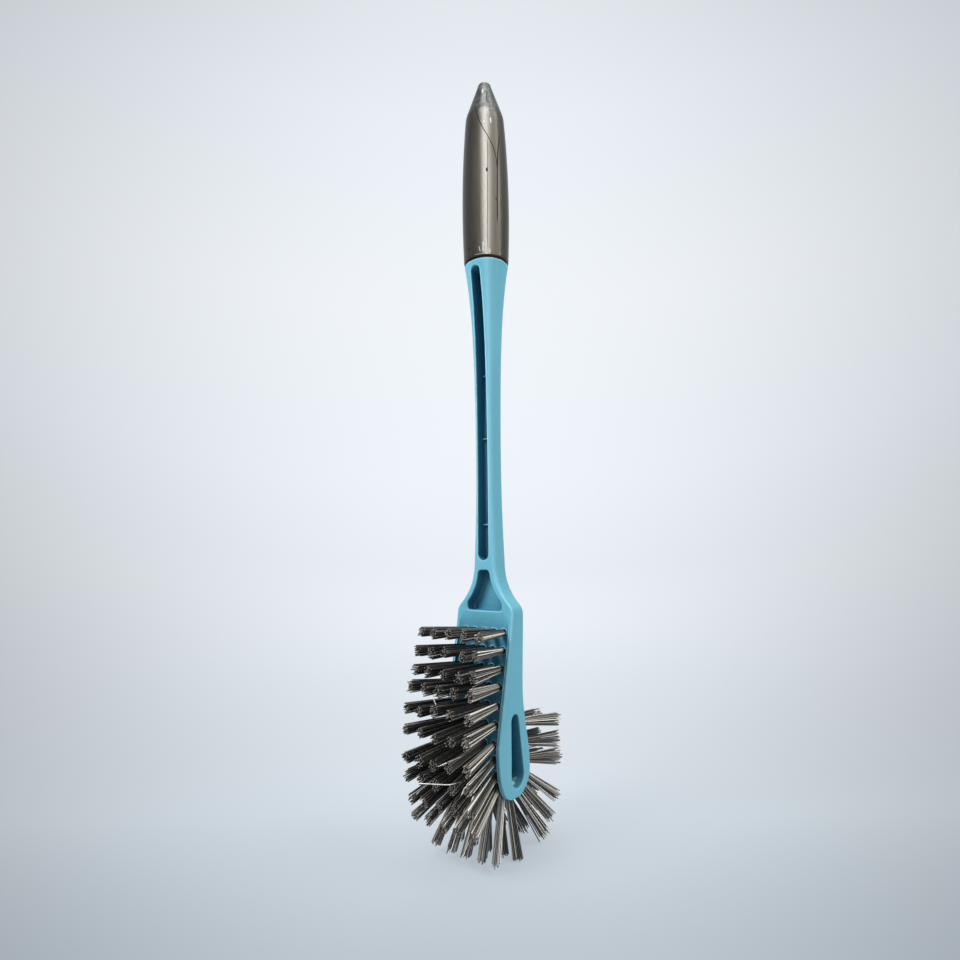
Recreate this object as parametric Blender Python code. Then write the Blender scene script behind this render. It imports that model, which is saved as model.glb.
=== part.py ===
"""Toilet brush: a moulded handle with a tufted head, a grip sleeve and rows of bristles.

The brush is drawn with its origin on the stem's axis, level with the lowest point of the head.
The stem runs up +Z, the head is as wide as X, and the longest rows of bristles face -Y.
Side profiles are written as (reach, height), where reach is the distance forward, towards -Y.
An empty carries all pieces and stands the brush on its lowest bristles.
"""
import math

import bmesh
import bpy
import numpy as np
from mathutils import Matrix, Vector
from mathutils.geometry import interpolate_bezier

# Fits and cuts shared by all pieces
SEAT_GAP = 0.0003
CUT_OVERRUN = 0.004

# Head, seen from the side: a paddle that is thin at the shoulders and bulges at the foot
HEAD_WIDTH = 0.0332
HEAD_LENGTH = 0.0834
SHOULDER_FRONT = 0.0050
SHOULDER_BACK = 0.0043
FRONT_BULGE = 0.0171
FRONT_BULGE_HEIGHT = 0.0228
FOOT_REACH = 0.0049
BACK_BULGE = 0.0078
BACK_BULGE_HEIGHT = 0.0109
BACK_HOLLOW = 0.0029
BACK_HOLLOW_HEIGHT = 0.0460
HEAD_EDGE_RADIUS = 0.0009
FOOT_CURVE_HEIGHT = 0.0124

# Lengths of the curve handles of the head's side profile, above and below each turning point
SHOULDER_FRONT_RUN = 0.0090
FRONT_BULGE_RUNS = (0.0031, 0.0160)
FOOT_RUNS = (0.0085, 0.0070)
BACK_BULGE_RUNS = (0.0060, 0.0120)
BACK_HOLLOW_RUNS = (0.0120, 0.0120)
SHOULDER_BACK_RUN = 0.0120

# Cheeks and the bristle field that lies sunk between them
CHEEK_THICKNESS = 0.0018
FIELD_TOP_DROP = 0.0079
FRONT_RECESS = 0.0031
FIELD_BULGE_RISE = 0.0017
FOOT_RECESS = 0.0014
BACK_RECESS = 0.0015
FIELD_BACK_TOP = 0.0400
FIELD_BACK_TOP_REACH = 0.0034
FIELD_TOP_RUN = 0.0090
FIELD_FRONT_RUNS = (0.0060, 0.0130)
FIELD_FOOT_RUNS = (0.0065, 0.0055)
FIELD_BACK_RUNS = (0.0050, 0.0090)
FIELD_BACK_TOP_RUN = 0.0080
BACKING_THICKNESS = 0.0012

# Slot through both cheeks, a teardrop between two circles
SLOT_LOW_RADIUS = 0.0050
SLOT_LOW_REACH = 0.0026
SLOT_LOW_HEIGHT = 0.0091
SLOT_HIGH_RADIUS = 0.0030
SLOT_HIGH_REACH = 0.0042
SLOT_HIGH_HEIGHT = 0.0332

# Neck between the shoulders and the stem, with a bell-shaped pocket in its front
NECK_LENGTH = 0.0230
NECK_FLARE_POWER = 2.6
SHOULDER_DROP = 0.0030
SHOULDER_ROUNDING = 0.0025
POCKET_DEPTH = 0.0058
POCKET_FOOT_DROP = 0.0012
POCKET_HEIGHT = 0.0193
POCKET_RIM = 0.0038
POCKET_HALF_WIDTH = 0.0102
POCKET_CORNER_RADIUS = 0.0014
POCKET_ARCH_RADIUS = 0.0019

# Stem: slim at its waist and flared to an oval under the grip
STEM_LENGTH = 0.1527
STEM_FLARE_POWERS = (2, 5)
WAIST_HEIGHT = 0.0470
STEM_FOOT_HALF_WIDTH = 0.0068
STEM_FOOT_HALF_DEPTH = 0.0056
WAIST_HALF_WIDTH = 0.0056
WAIST_HALF_DEPTH = 0.0054
WAIST_CORNER_RADIUS = 0.0036
SEAT_HALF_WIDTH = 0.0112
SEAT_HALF_DEPTH = 0.0111
SEAT_CORNER_RADIUS = 0.0105

# Channel down the front of the stem, with thin cross ribs on its floor
CHANNEL_FOOT_WIDTH = 0.0062
CHANNEL_TOP_WIDTH = 0.0056
CHANNEL_TOP_MARGIN = 0.0029
CHANNEL_BRIDGE = 0.0047
CHANNEL_BACK_WALL = 0.0040
RIB_THICKNESS = 0.0009
RIB_DRAFT = 0.0002
RIB_HEIGHT = 0.0022
RIB_PLACE_SHARES = (0.117, 0.407, 0.627)

# Tang that holds the grip
TANG_LENGTH = 0.0450
TANG_FOOT_RADIUS = 0.0082
TANG_TIP_RADIUS = 0.0070

# Grip sleeve: a barrel with a cone on top
GRIP_LENGTH = 0.1058
GRIP_RIM_RADIUS = 0.0116
GRIP_BARREL_RADIUS = 0.0124
GRIP_CORNER_RADIUS = 0.0103
GRIP_CORNER_ROUNDING = 0.0042
GRIP_CONE_LENGTH = 0.0212
GRIP_TIP_RADIUS = 0.0037
GRIP_TIP_ROUNDING = 0.0017
GRIP_RIM_ROUNDING = 0.0005
BORE_END_ROOM = 0.0010

# Bristles: rows of tufts, each tuft a ring of strands about a middle one
FIRST_ROW_DROP = 0.0030
OUTER_TUFT_OFFSET = 0.0114
FRONT_TUFTS = 5
BACK_TUFTS = 4
FRONT_ROWS = 9
FOOT_ROWS = 3
BRISTLE_LENGTH = 0.0280
TUFT_ROOT_RADIUS = 0.0011
TUFT_TIP_RADIUS = 0.0020
STRAND_RADIUS = 0.00055
STRAND_SIDES = 3
RING_STRANDS = 4
RING_TURN_SHARE = 0.15
ROOT_DEPTH = 0.0007
TIP_STEP = 0.0005
TIP_LEVELS = 3
OUTER_TUFT_LEAN = math.radians(11.2)
FLOOR_TRIM = 0.0005

# Rows above the front bulge are evenly spaced, and the last of them stands on the bulge.
# The later ones have their places as shares of the field's stretches: from the front bulge to the
# foot, from the foot to the back bulge, and from there to the field's back top.
EVEN_ROWS = 7
ROW_PLACE_SHARES = ((0.24, 0.485, 0.69, 0.875), (0.075, 0.34, 0.60, 0.86), (0.09, 0.355, 0.67))

# From the top front row round to the top back row: how far each row leans from square to the field,
# in degrees towards the back, and its share of the bristle length
ROW_LEANS = (3.5, 8, 10, 8.5, 9, 11.5, 8, 6, 5.5, 0, 6, -7.5, 7.5, -2.5, -18, -13, -15.5, -14.5)
ROW_LENGTH_SHARES = (
    0.96, 1, 1.01, 1.04, 1.06, 1.02, 1, 0.97, 0.96, 0.98, 0.98, 0.98, 1.07, 1.07, 1.03, 0.99, 0.99, 1.02,
)

# Fineness of the facets
CURVE_STEPS = 25
CORNER_STEPS = 5
FOOT_STATIONS = 9
HEAD_STATIONS = 12
SHOULDER_STATIONS = 5
NECK_STATIONS = 15
STEM_STATIONS = 26
GRIP_SIDES = 36
BARREL_STATIONS = 9
ROUNDING_STATIONS = 3
END_STATIONS = 4
END_START_SHARE = 0.4
POCKET_STATIONS = 8
FIELD_STATIONS = 75
SLOT_STEPS = 9
SLICE_STEPS = 4

# Edges steeper than these angles, in degrees, stay sharp
HANDLE_SHARP_ANGLE = 32
GRIP_SHARP_ANGLE = 25

# Directions of travel along a side profile, as (reach, height)
DOWN = Vector((0, -1))
BACKWARD = Vector((-1, 0))
UP = Vector((0, 1))

# Heights that several pieces share
NECK_TOP = HEAD_LENGTH + NECK_LENGTH
SEAT_HEIGHT = NECK_TOP + STEM_LENGTH
GRIP_FOOT = SEAT_HEIGHT + SEAT_GAP
HALF_HEAD_WIDTH = HEAD_WIDTH / 2
HALF_FIELD_WIDTH = HALF_HEAD_WIDTH - CHEEK_THICKNESS
BED_DEPTH = BACKING_THICKNESS + SEAT_GAP


def blend(start, end, share):
    """Value that lies the given share of the way from start to end."""
    return start + (end - start) * share


def in_space(across, reach, height):
    """Point of the model for a place across the brush and a point of a side profile."""
    return Vector((across, -reach, height))


def curve_through(knots):
    """Smooth profile through knots, each a place, a direction of travel and two handle lengths."""
    points = [Vector(knots[0][0])]
    for (start, heading, _, run_out), (end, next_heading, run_in, _) in zip(knots, knots[1:]):
        start = Vector(start)
        end = Vector(end)
        first_handle = start + heading * run_out
        last_handle = end - next_heading * run_in
        stretch = interpolate_bezier(start, first_handle, last_handle, end, CURVE_STEPS)
        points.extend(point.copy() for point in stretch[1:])
    return points


def cheek_profile():
    """Side profile of the head, from the front shoulder round the foot to the back shoulder."""
    return curve_through((
        ((SHOULDER_FRONT, HEAD_LENGTH), DOWN, 0, SHOULDER_FRONT_RUN),
        ((FRONT_BULGE, FRONT_BULGE_HEIGHT), DOWN, *FRONT_BULGE_RUNS),
        ((FOOT_REACH, 0), BACKWARD, *FOOT_RUNS),
        ((-BACK_BULGE, BACK_BULGE_HEIGHT), UP, *BACK_BULGE_RUNS),
        ((-BACK_HOLLOW, BACK_HOLLOW_HEIGHT), UP, *BACK_HOLLOW_RUNS),
        ((-SHOULDER_BACK, HEAD_LENGTH), UP, SHOULDER_BACK_RUN, 0),
    ))


def field_profile():
    """Surface that the bristles stand on, sunk between the cheeks, from front top to back top."""
    return curve_through((
        ((SHOULDER_FRONT, HEAD_LENGTH - FIELD_TOP_DROP), DOWN, 0, FIELD_TOP_RUN),
        ((FRONT_BULGE - FRONT_RECESS, FRONT_BULGE_HEIGHT + FIELD_BULGE_RISE), DOWN, *FIELD_FRONT_RUNS),
        ((FOOT_REACH, FOOT_RECESS), BACKWARD, *FIELD_FOOT_RUNS),
        ((BACK_RECESS - BACK_BULGE, BACK_BULGE_HEIGHT), UP, *FIELD_BACK_RUNS),
        ((-FIELD_BACK_TOP_REACH, FIELD_BACK_TOP), UP, FIELD_BACK_TOP_RUN, 0),
    ))


CHEEK = cheek_profile()
FIELD = field_profile()
FIELD_STEPS = [(after - before).length for before, after in zip(FIELD, FIELD[1:])]
FIELD_LENGTH = sum(FIELD_STEPS)


def cheek_reaches(height):
    """Front and back reach of the head's side profile at a height."""
    lowest = min(range(len(CHEEK)), key=lambda index: CHEEK[index].y)
    front = CHEEK[lowest::-1]
    back = CHEEK[lowest:]
    front_reach = np.interp(height, [point.y for point in front], [point.x for point in front])
    back_reach = np.interp(height, [point.y for point in back], [point.x for point in back])
    return float(front_reach), float(back_reach)


def field_point(distance):
    """Point of the field and the way out of it, at a distance along its profile."""
    walked = 0
    for before, after, step in zip(FIELD, FIELD[1:], FIELD_STEPS):
        if walked + step >= distance:
            break
        walked += step
    heading = (after - before).normalized()
    outward = Vector((-heading.y, heading.x))
    return before + heading * (distance - walked), outward


def field_offset(distances, depth):
    """Points at a depth under the field, or over it where the depth is negative."""
    points = []
    for distance in distances:
        place, outward = field_point(distance)
        points.append(place - outward * depth)
    return points


def spread(start, end, count):
    """Evenly spaced values from start to end, both included."""
    return [blend(start, end, index / (count - 1)) for index in range(count)]


def rounded_section(height, half_width, front, back, radius):
    """Level section of the handle: a rectangle with rounded corners, at one height."""
    radius = min(radius, half_width, (front + back) / 2)
    corners = (
        (half_width - radius, back - radius),
        (radius - half_width, back - radius),
        (radius - half_width, radius - front),
        (half_width - radius, radius - front),
    )
    points = []
    for quarter, (across, along) in enumerate(corners):
        for step in range(CORNER_STEPS):
            turn = math.pi / 2 * (quarter + (step + 0.5) / CORNER_STEPS)
            x = across + radius * math.cos(turn)
            y = along + radius * math.sin(turn)
            points.append(Vector((x, y, height)))
    return points


def circle(height, radius, sides):
    """Level circle about the stem's axis."""
    turns = [2 * math.pi * side / sides for side in range(sides)]
    return [Vector((radius * math.cos(turn), radius * math.sin(turn), height)) for turn in turns]


def new_object(name, bm):
    """Object with the faces of a bmesh turned outward."""
    bmesh.ops.recalc_face_normals(bm, faces=bm.faces)
    mesh = bpy.data.meshes.new(name)
    bm.to_mesh(mesh)
    bm.free()
    item = bpy.data.objects.new(name, mesh)
    bpy.context.scene.collection.objects.link(item)
    return item


def add_loft(bm, rings):
    """Skin over rings of equally many points, closed at both ends."""
    loops = [[bm.verts.new(point) for point in ring] for ring in rings]
    for lower, upper in zip(loops, loops[1:]):
        for index in range(len(lower)):
            following = (index + 1) % len(lower)
            bm.faces.new((lower[index], lower[following], upper[following], upper[index]))
    bm.faces.new(loops[0])
    bm.faces.new(loops[-1])


def loft(name, rings):
    """Closed body through rings of points."""
    bm = bmesh.new()
    add_loft(bm, rings)
    return new_object(name, bm)


def prism(name, outline, half_width):
    """Side profile drawn out to both sides of the brush's middle."""
    left = [in_space(-half_width, *point) for point in outline]
    right = [in_space(half_width, *point) for point in outline]
    return loft(name, (left, right))


def as_cutter(item):
    """Mark a body as a guide that shapes another one."""
    item.hide_render = True
    item.display_type = 'WIRE'
    return item


def combine(item, other, operation):
    """Boolean of a body with a guide."""
    modifier = item.modifiers.new(other.name, 'BOOLEAN')
    modifier.operation = operation
    modifier.solver = 'EXACT'
    modifier.object = as_cutter(other)


def shade(item, angle):
    """Smooth shading with edges kept sharp above an angle."""
    item.data.shade_smooth()
    item.data.set_sharp_from_angle(angle=math.radians(angle))


def plastic(name, colour, roughness, metallic=0.0):
    """Principled material of one moulded colour."""
    material = bpy.data.materials.new(name)
    material.use_nodes = True
    shader = material.node_tree.nodes['Principled BSDF']
    shader.inputs['Base Color'].default_value = (*colour, 1)
    shader.inputs['Roughness'].default_value = roughness
    shader.inputs['Metallic'].default_value = metallic
    material.diffuse_color = (*colour, 1)
    return material


def stem_size(height, foot, waist, seat):
    """One size of the stem's section at a height, from its sizes at foot, waist and seat."""
    waist_level = NECK_TOP + WAIST_HEIGHT
    if height < waist_level:
        share = (waist_level - height) / WAIST_HEIGHT
        return blend(waist, foot, share ** 2)
    share = (height - waist_level) / (SEAT_HEIGHT - waist_level)
    gentle, steep = (share ** power for power in STEM_FLARE_POWERS)
    return blend(waist, seat, (gentle + steep) / 2)


def stem_section(height):
    """Half width, front, back and corner radius of the stem at a height."""
    half_width = stem_size(height, STEM_FOOT_HALF_WIDTH, WAIST_HALF_WIDTH, SEAT_HALF_WIDTH)
    half_depth = stem_size(height, STEM_FOOT_HALF_DEPTH, WAIST_HALF_DEPTH, SEAT_HALF_DEPTH)
    radius = stem_size(height, WAIST_CORNER_RADIUS, WAIST_CORNER_RADIUS, SEAT_CORNER_RADIUS)
    return half_width, half_depth, half_depth, radius


def neck_half_width(height):
    """Half width of the neck, which flares from the stem and rounds over into the head's sides."""
    share = (NECK_TOP - height) / NECK_LENGTH
    flare = blend(STEM_FOOT_HALF_WIDTH, HALF_HEAD_WIDTH, share ** NECK_FLARE_POWER)
    nearness = max(1 - abs(flare - HALF_HEAD_WIDTH) / SHOULDER_ROUNDING, 0)
    return min(flare, HALF_HEAD_WIDTH) - SHOULDER_ROUNDING * nearness ** 2 / 4


def neck_section(height):
    """Half width, front, back and corner radius of the neck at a height."""
    share = (NECK_TOP - height) / NECK_LENGTH
    front = blend(STEM_FOOT_HALF_DEPTH, SHOULDER_FRONT, share)
    back = blend(STEM_FOOT_HALF_DEPTH, SHOULDER_BACK, share)
    return neck_half_width(height), front, back, blend(WAIST_CORNER_RADIUS, HEAD_EDGE_RADIUS, share)


def head_section(height):
    """Half width, front, back and corner radius of the head at a height."""
    front, back = cheek_reaches(height)
    half_width = neck_half_width(height) if height > HEAD_LENGTH - SHOULDER_DROP else HALF_HEAD_WIDTH
    fall = max(HEAD_EDGE_RADIUS - height, 0)
    foot_inset = HEAD_EDGE_RADIUS - math.sqrt(HEAD_EDGE_RADIUS ** 2 - fall ** 2)
    return half_width - foot_inset, front, -back, HEAD_EDGE_RADIUS


def handle_rings():
    """Level sections of the handle from the foot of the head to the tip of the tang."""
    quarter = math.pi / 2
    foot = [FOOT_CURVE_HEIGHT * (1 - math.cos(turn)) for turn in spread(0, quarter, FOOT_STATIONS + 1)[1:]]
    head = spread(FOOT_CURVE_HEIGHT, HEAD_LENGTH - SHOULDER_DROP, HEAD_STATIONS)[1:]
    shoulders = spread(HEAD_LENGTH - SHOULDER_DROP, HEAD_LENGTH, SHOULDER_STATIONS)[1:]
    neck = spread(HEAD_LENGTH, NECK_TOP, NECK_STATIONS)[1:]
    stem = spread(NECK_TOP, SEAT_HEIGHT, STEM_STATIONS)[1:]
    rings = [rounded_section(height, *head_section(height)) for height in foot + head + shoulders]
    rings += [rounded_section(height, *neck_section(height)) for height in neck]
    rings += [rounded_section(height, *stem_section(height)) for height in stem]
    for height, radius in ((SEAT_HEIGHT, TANG_FOOT_RADIUS), (SEAT_HEIGHT + TANG_LENGTH, TANG_TIP_RADIUS)):
        rings.append(rounded_section(height, radius, radius, radius, radius))
    return rings


def cut_ring(height, half_width, floor, mouth):
    """Rectangle of a front cutter at one height, from its floor to beyond the front face."""
    corners = ((-half_width, mouth), (half_width, mouth), (half_width, floor), (-half_width, floor))
    return [in_space(across, reach, height) for across, reach in corners]


def channel_foot():
    """Height of the channel's lower end, one bridge above the pocket."""
    return HEAD_LENGTH - POCKET_FOOT_DROP + POCKET_HEIGHT + CHANNEL_BRIDGE


def channel_floor(height):
    """Reach of the channel's floor, one back wall in front of the stem's back."""
    back = stem_section(height)[2] if height > NECK_TOP else neck_section(height)[2]
    return CHANNEL_BACK_WALL - back


def channel_stations():
    """Heights, half widths and floor lifts of the channel, with its round ends and its ribs."""
    foot = channel_foot()
    top = SEAT_HEIGHT - CHANNEL_TOP_MARGIN
    foot_radius = CHANNEL_FOOT_WIDTH / 2
    top_radius = CHANNEL_TOP_WIDTH / 2
    low = foot + foot_radius
    high = top - top_radius
    turns = [math.pi / 2 * (step + END_START_SHARE) / END_STATIONS for step in range(END_STATIONS)]
    rounds = [(1 - math.cos(turn), math.sin(turn)) for turn in turns]
    stations = [(foot + foot_radius * rise, foot_radius * half_width, 0) for rise, half_width in rounds]
    levels = [(low, 0)]
    for share in RIB_PLACE_SHARES:
        rib = blend(foot, top, share)
        half_rib = RIB_THICKNESS / 2
        root = half_rib + RIB_DRAFT
        levels += [(rib - root, 0), (rib - half_rib, RIB_HEIGHT), (rib + half_rib, RIB_HEIGHT), (rib + root, 0)]
    levels += [(height, 0) for height in spread(levels[-1][0], high, POCKET_STATIONS)[1:]]
    for height, lift in levels:
        stations.append((height, blend(foot_radius, top_radius, (height - low) / (high - low)), lift))
    stations += [(top - top_radius * rise, top_radius * half_width, 0) for rise, half_width in reversed(rounds)]
    return stations


def channel_cutter():
    """Long channel in the stem's front, a little wider at its foot."""
    mouth = SEAT_HALF_DEPTH + CUT_OVERRUN
    rings = []
    for height, half_width, lift in channel_stations():
        rings.append(cut_ring(height, half_width, channel_floor(height) + lift, mouth))
    return loft('channel_cut', rings)


def pocket_cutter():
    """Bell-shaped pocket in the neck's front: a rim inside its outline, with a flat floor."""
    foot = HEAD_LENGTH - POCKET_FOOT_DROP
    top = foot + POCKET_HEIGHT
    floor = SHOULDER_FRONT - POCKET_DEPTH
    mouth = SHOULDER_FRONT + CUT_OVERRUN
    rings = []
    for turn in spread(0, math.pi / 2, ROUNDING_STATIONS + 1):
        inset = POCKET_CORNER_RADIUS * (1 - math.sin(turn))
        rise = POCKET_CORNER_RADIUS * (1 - math.cos(turn))
        rings.append(cut_ring(foot + rise, POCKET_HALF_WIDTH - inset, floor, mouth))
    for height in spread(foot + POCKET_CORNER_RADIUS, top - POCKET_ARCH_RADIUS, POCKET_STATIONS)[1:]:
        half_width = min(neck_half_width(height) - POCKET_RIM, POCKET_HALF_WIDTH)
        rings.append(cut_ring(height, half_width, floor, mouth))
    for turn in spread(0, math.pi / 2, ROUNDING_STATIONS + 1)[1:]:
        fall = POCKET_ARCH_RADIUS * (1 - math.sin(turn))
        inset = POCKET_ARCH_RADIUS * (1 - math.cos(turn))
        rings.append(cut_ring(top - fall, half_width - inset, floor, mouth))
    return loft('pocket_cut', rings)


def slot_cutter():
    """Teardrop that wraps a large low circle and a small high one."""
    low = Vector((SLOT_LOW_REACH, SLOT_LOW_HEIGHT))
    high = Vector((SLOT_HIGH_REACH, SLOT_HIGH_HEIGHT))
    lean = math.atan2(high.y - low.y, high.x - low.x)
    open_angle = math.acos((SLOT_LOW_RADIUS - SLOT_HIGH_RADIUS) / (high - low).length)
    outline = []
    for turn in spread(lean - open_angle, lean + open_angle, SLOT_STEPS):
        outline.append(high + Vector((math.cos(turn), math.sin(turn))) * SLOT_HIGH_RADIUS)
    for turn in spread(lean + open_angle, lean - open_angle + 2 * math.pi, SLOT_STEPS):
        outline.append(low + Vector((math.cos(turn), math.sin(turn))) * SLOT_LOW_RADIUS)
    return prism('slot_cut', outline, HALF_HEAD_WIDTH + CUT_OVERRUN)


def field_cutter():
    """Trough between the cheeks that takes the backing of all rows of bristles."""
    distances = spread(0, FIELD_LENGTH, FIELD_STATIONS)
    bed = field_offset(distances, BED_DEPTH)
    outside = field_offset(distances, -(FRONT_RECESS + CUT_OVERRUN))
    return prism('field_cut', bed + outside[::-1], HALF_FIELD_WIDTH)


def make_handle(material):
    """Handle: head with cheeks, neck, stem and tang, moulded in one piece."""
    handle = loft('handle', handle_rings())
    handle.data.materials.append(material)
    for cutter in (field_cutter(), slot_cutter(), channel_cutter(), pocket_cutter()):
        combine(handle, cutter, 'DIFFERENCE')
    shade(handle, HANDLE_SHARP_ANGLE)
    return handle


def barrel_radius(height):
    """Radius of the grip's barrel at a height over its rim, a shallow arch."""
    barrel_length = GRIP_LENGTH - GRIP_CONE_LENGTH
    rim_fall = GRIP_BARREL_RADIUS - GRIP_RIM_RADIUS
    corner_fall = GRIP_BARREL_RADIUS - GRIP_CORNER_RADIUS
    widest = barrel_length * math.sqrt(rim_fall) / (math.sqrt(rim_fall) + math.sqrt(corner_fall))
    return GRIP_BARREL_RADIUS - rim_fall * ((height - widest) / widest) ** 2


def grip_outside():
    """Outer profile of the grip as (height over its rim, radius), from rim to tip."""
    cone_foot = GRIP_LENGTH - GRIP_CONE_LENGTH
    profile = []
    for turn in spread(0, math.pi / 2, ROUNDING_STATIONS):
        inset = GRIP_RIM_ROUNDING * (1 - math.sin(turn))
        rise = GRIP_RIM_ROUNDING * (1 - math.cos(turn))
        profile.append((rise, barrel_radius(rise) - inset))
    for height in spread(GRIP_RIM_ROUNDING, cone_foot - GRIP_CORNER_ROUNDING, BARREL_STATIONS)[1:]:
        profile.append((height, barrel_radius(height)))
    barrel_end = Vector(profile[-1])
    corner = Vector((cone_foot, GRIP_CORNER_RADIUS))
    cone_end = Vector((GRIP_LENGTH - GRIP_TIP_ROUNDING, GRIP_TIP_RADIUS))
    cone_start = corner + (cone_end - corner).normalized() * GRIP_CORNER_ROUNDING
    rounding = interpolate_bezier(barrel_end, corner, corner, cone_start, CORNER_STEPS)
    profile += [tuple(point) for point in rounding[1:]]
    for turn in spread(0, math.pi / 2, ROUNDING_STATIONS + 1):
        rise = GRIP_TIP_ROUNDING * (1 - math.sin(turn))
        inset = GRIP_TIP_ROUNDING * (1 - math.cos(turn))
        profile.append((GRIP_LENGTH - rise, GRIP_TIP_RADIUS - inset))
    return profile


def make_grip(material):
    """Grip: a sleeve with a closed cone, pushed over the tang."""
    bore_depth = TANG_LENGTH + BORE_END_ROOM
    rings = [circle(GRIP_FOOT + bore_depth, TANG_TIP_RADIUS + SEAT_GAP, GRIP_SIDES)]
    rings.append(circle(GRIP_FOOT, TANG_FOOT_RADIUS + SEAT_GAP, GRIP_SIDES))
    for height, radius in grip_outside():
        rings.append(circle(GRIP_FOOT + height, radius, GRIP_SIDES))
    grip = loft('grip', rings)
    grip.data.materials.append(material)
    shade(grip, GRIP_SHARP_ANGLE)
    return grip


def field_marks():
    """Distances along the field of the places that its profile is drawn through."""
    return [sum(FIELD_STEPS[:index]) for index in range(0, len(FIELD), CURVE_STEPS - 1)]


def row_distances():
    """Distance of each row of tufts along the field, from its front top."""
    bulge, *later = field_marks()[1:]
    distances = spread(FIRST_ROW_DROP, bulge, EVEN_ROWS)
    for start, end, shares in zip((bulge, *later), later, ROW_PLACE_SHARES):
        distances += [blend(start, end, share) for share in shares]
    return distances


def slice_ends(distances, row):
    """Where a row's slice of backing starts and ends along the field."""
    middles = [(before + after) / 2 for before, after in zip(distances, distances[1:])]
    edges = [SEAT_GAP / 2, *middles, FIELD_LENGTH - SEAT_GAP / 2]
    return edges[row] + SEAT_GAP / 2, edges[row + 1] - SEAT_GAP / 2


def backing_slice(name, start, end):
    """Strip of backing that seats in the trough under one row."""
    distances = spread(start, end, SLICE_STEPS)
    outline = field_offset(distances, 0) + field_offset(distances, BACKING_THICKNESS)[::-1]
    return prism(name, outline, HALF_FIELD_WIDTH - SEAT_GAP)


def tuft_offsets(row):
    """Places of a row's tufts across the head: fewer on the back than in front."""
    count = FRONT_TUFTS if row < FRONT_ROWS + FOOT_ROWS else BACK_TUFTS
    return spread(-OUTER_TUFT_OFFSET, OUTER_TUFT_OFFSET, count)


def strand_ends(row, distance, across):
    """Root and tip of each strand in a tuft, and two ways square to the tuft's axis.

    The first way points to the head's nearer side, so that the two halves mirror each other.
    """
    place, outward = field_point(distance)
    heading = Matrix.Rotation(-math.radians(ROW_LEANS[row]), 2) @ outward
    lean = OUTER_TUFT_LEAN * across / OUTER_TUFT_OFFSET
    axis = in_space(0, *heading) * math.cos(lean) + Vector((math.sin(lean), 0, 0))
    outer_side = Vector((math.copysign(1, across), 0, 0))
    side = (outer_side - axis * axis.dot(outer_side)).normalized()
    over = axis.cross(side)
    root = in_space(across, *place) - axis * ROOT_DEPTH
    length = BRISTLE_LENGTH * ROW_LENGTH_SHARES[row] + ROOT_DEPTH
    ends = [(root, root + axis * length)]
    for strand in range(RING_STRANDS):
        turn = 2 * math.pi * (strand + RING_TURN_SHARE + row / 2) / RING_STRANDS
        way = side * math.cos(turn) + over * math.sin(turn)
        strand_length = length - TIP_STEP * (strand % TIP_LEVELS)
        tip = root + axis * strand_length + way * TUFT_TIP_RADIUS
        ends.append((root + way * TUFT_ROOT_RADIUS, tip))
    return ends, side, over


def row_strands(row, distance):
    """Roots, tips and side directions of all strands in a row."""
    strands = []
    for across in tuft_offsets(row):
        ends, side, over = strand_ends(row, distance, across)
        strands += [(root, tip, side, over) for root, tip in ends]
    return strands


def strand_body(name, strands):
    """All strands of a row as slim prisms."""
    bm = bmesh.new()
    for root, tip, side, over in strands:
        turns = [2 * math.pi * corner / STRAND_SIDES for corner in range(STRAND_SIDES)]
        corners = [(side * math.cos(turn) + over * math.sin(turn)) * STRAND_RADIUS for turn in turns]
        add_loft(bm, ([root + corner for corner in corners], [tip + corner for corner in corners]))
    return new_object(name, bm)


def floor_level(rows):
    """Height at which the lowest bristles are cut flat, so that the brush rests on them."""
    lowest = min(tip.z for strands in rows for _, tip, _, _ in strands)
    return lowest + FLOOR_TRIM


def floor_cutter(level):
    """Block under the floor, as wide and deep as the brush with its bristles."""
    half = HEAD_LENGTH
    corners = ((-half, -half), (half, -half), (half, half), (-half, half))
    rings = [[Vector((x, y, height)) for x, y in corners] for height in (level - half, level)]
    return loft('floor_cut', rings)


def row_name(row):
    """Name of a row by its place: front, foot or back, each counted along the field."""
    if row < FRONT_ROWS:
        return f'front_bristles_{row + 1}'
    if row < FRONT_ROWS + FOOT_ROWS:
        return f'foot_bristles_{row - FRONT_ROWS + 1}'
    return f'back_bristles_{row - FRONT_ROWS - FOOT_ROWS + 1}'


def make_rows(backing_material, strand_material):
    """Rows of bristles, each fused to its slice of backing."""
    distances = row_distances()
    rows = [row_strands(row, distance) for row, distance in enumerate(distances)]
    level = floor_level(rows)
    floor = floor_cutter(level)
    items = []
    for row, strands in enumerate(rows):
        item = backing_slice(row_name(row), *slice_ends(distances, row))
        item.data.materials.append(backing_material)
        tufts = strand_body(row_name(row) + '_strands', strands)
        tufts.data.materials.append(strand_material)
        combine(item, tufts, 'UNION')
        if min(tip.z for _, tip, _, _ in strands) < level + STRAND_RADIUS:
            combine(item, floor, 'DIFFERENCE')
        items.append(item)
    return items


def model_corners(items):
    """Lowest and highest corner of the finished pieces."""
    bpy.context.view_layer.update()
    graph = bpy.context.evaluated_depsgraph_get()
    points = []
    for item in items:
        mesh = item.evaluated_get(graph).data
        points += [tuple(vertex.co) for vertex in mesh.vertices]
    points = np.array(points)
    return points.min(axis=0), points.max(axis=0)


def stand_on_floor(items):
    """Carry all pieces on an empty that puts the middle of the brush's foot at the origin."""
    low, high = model_corners(items)
    stand = bpy.data.objects.new('brush_stand', None)
    bpy.context.scene.collection.objects.link(stand)
    for item in bpy.data.objects:
        if item is not stand:
            item.parent = stand
    middle = (low + high) / 2
    stand.location = (-middle[0], -middle[1], -low[2])


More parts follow.
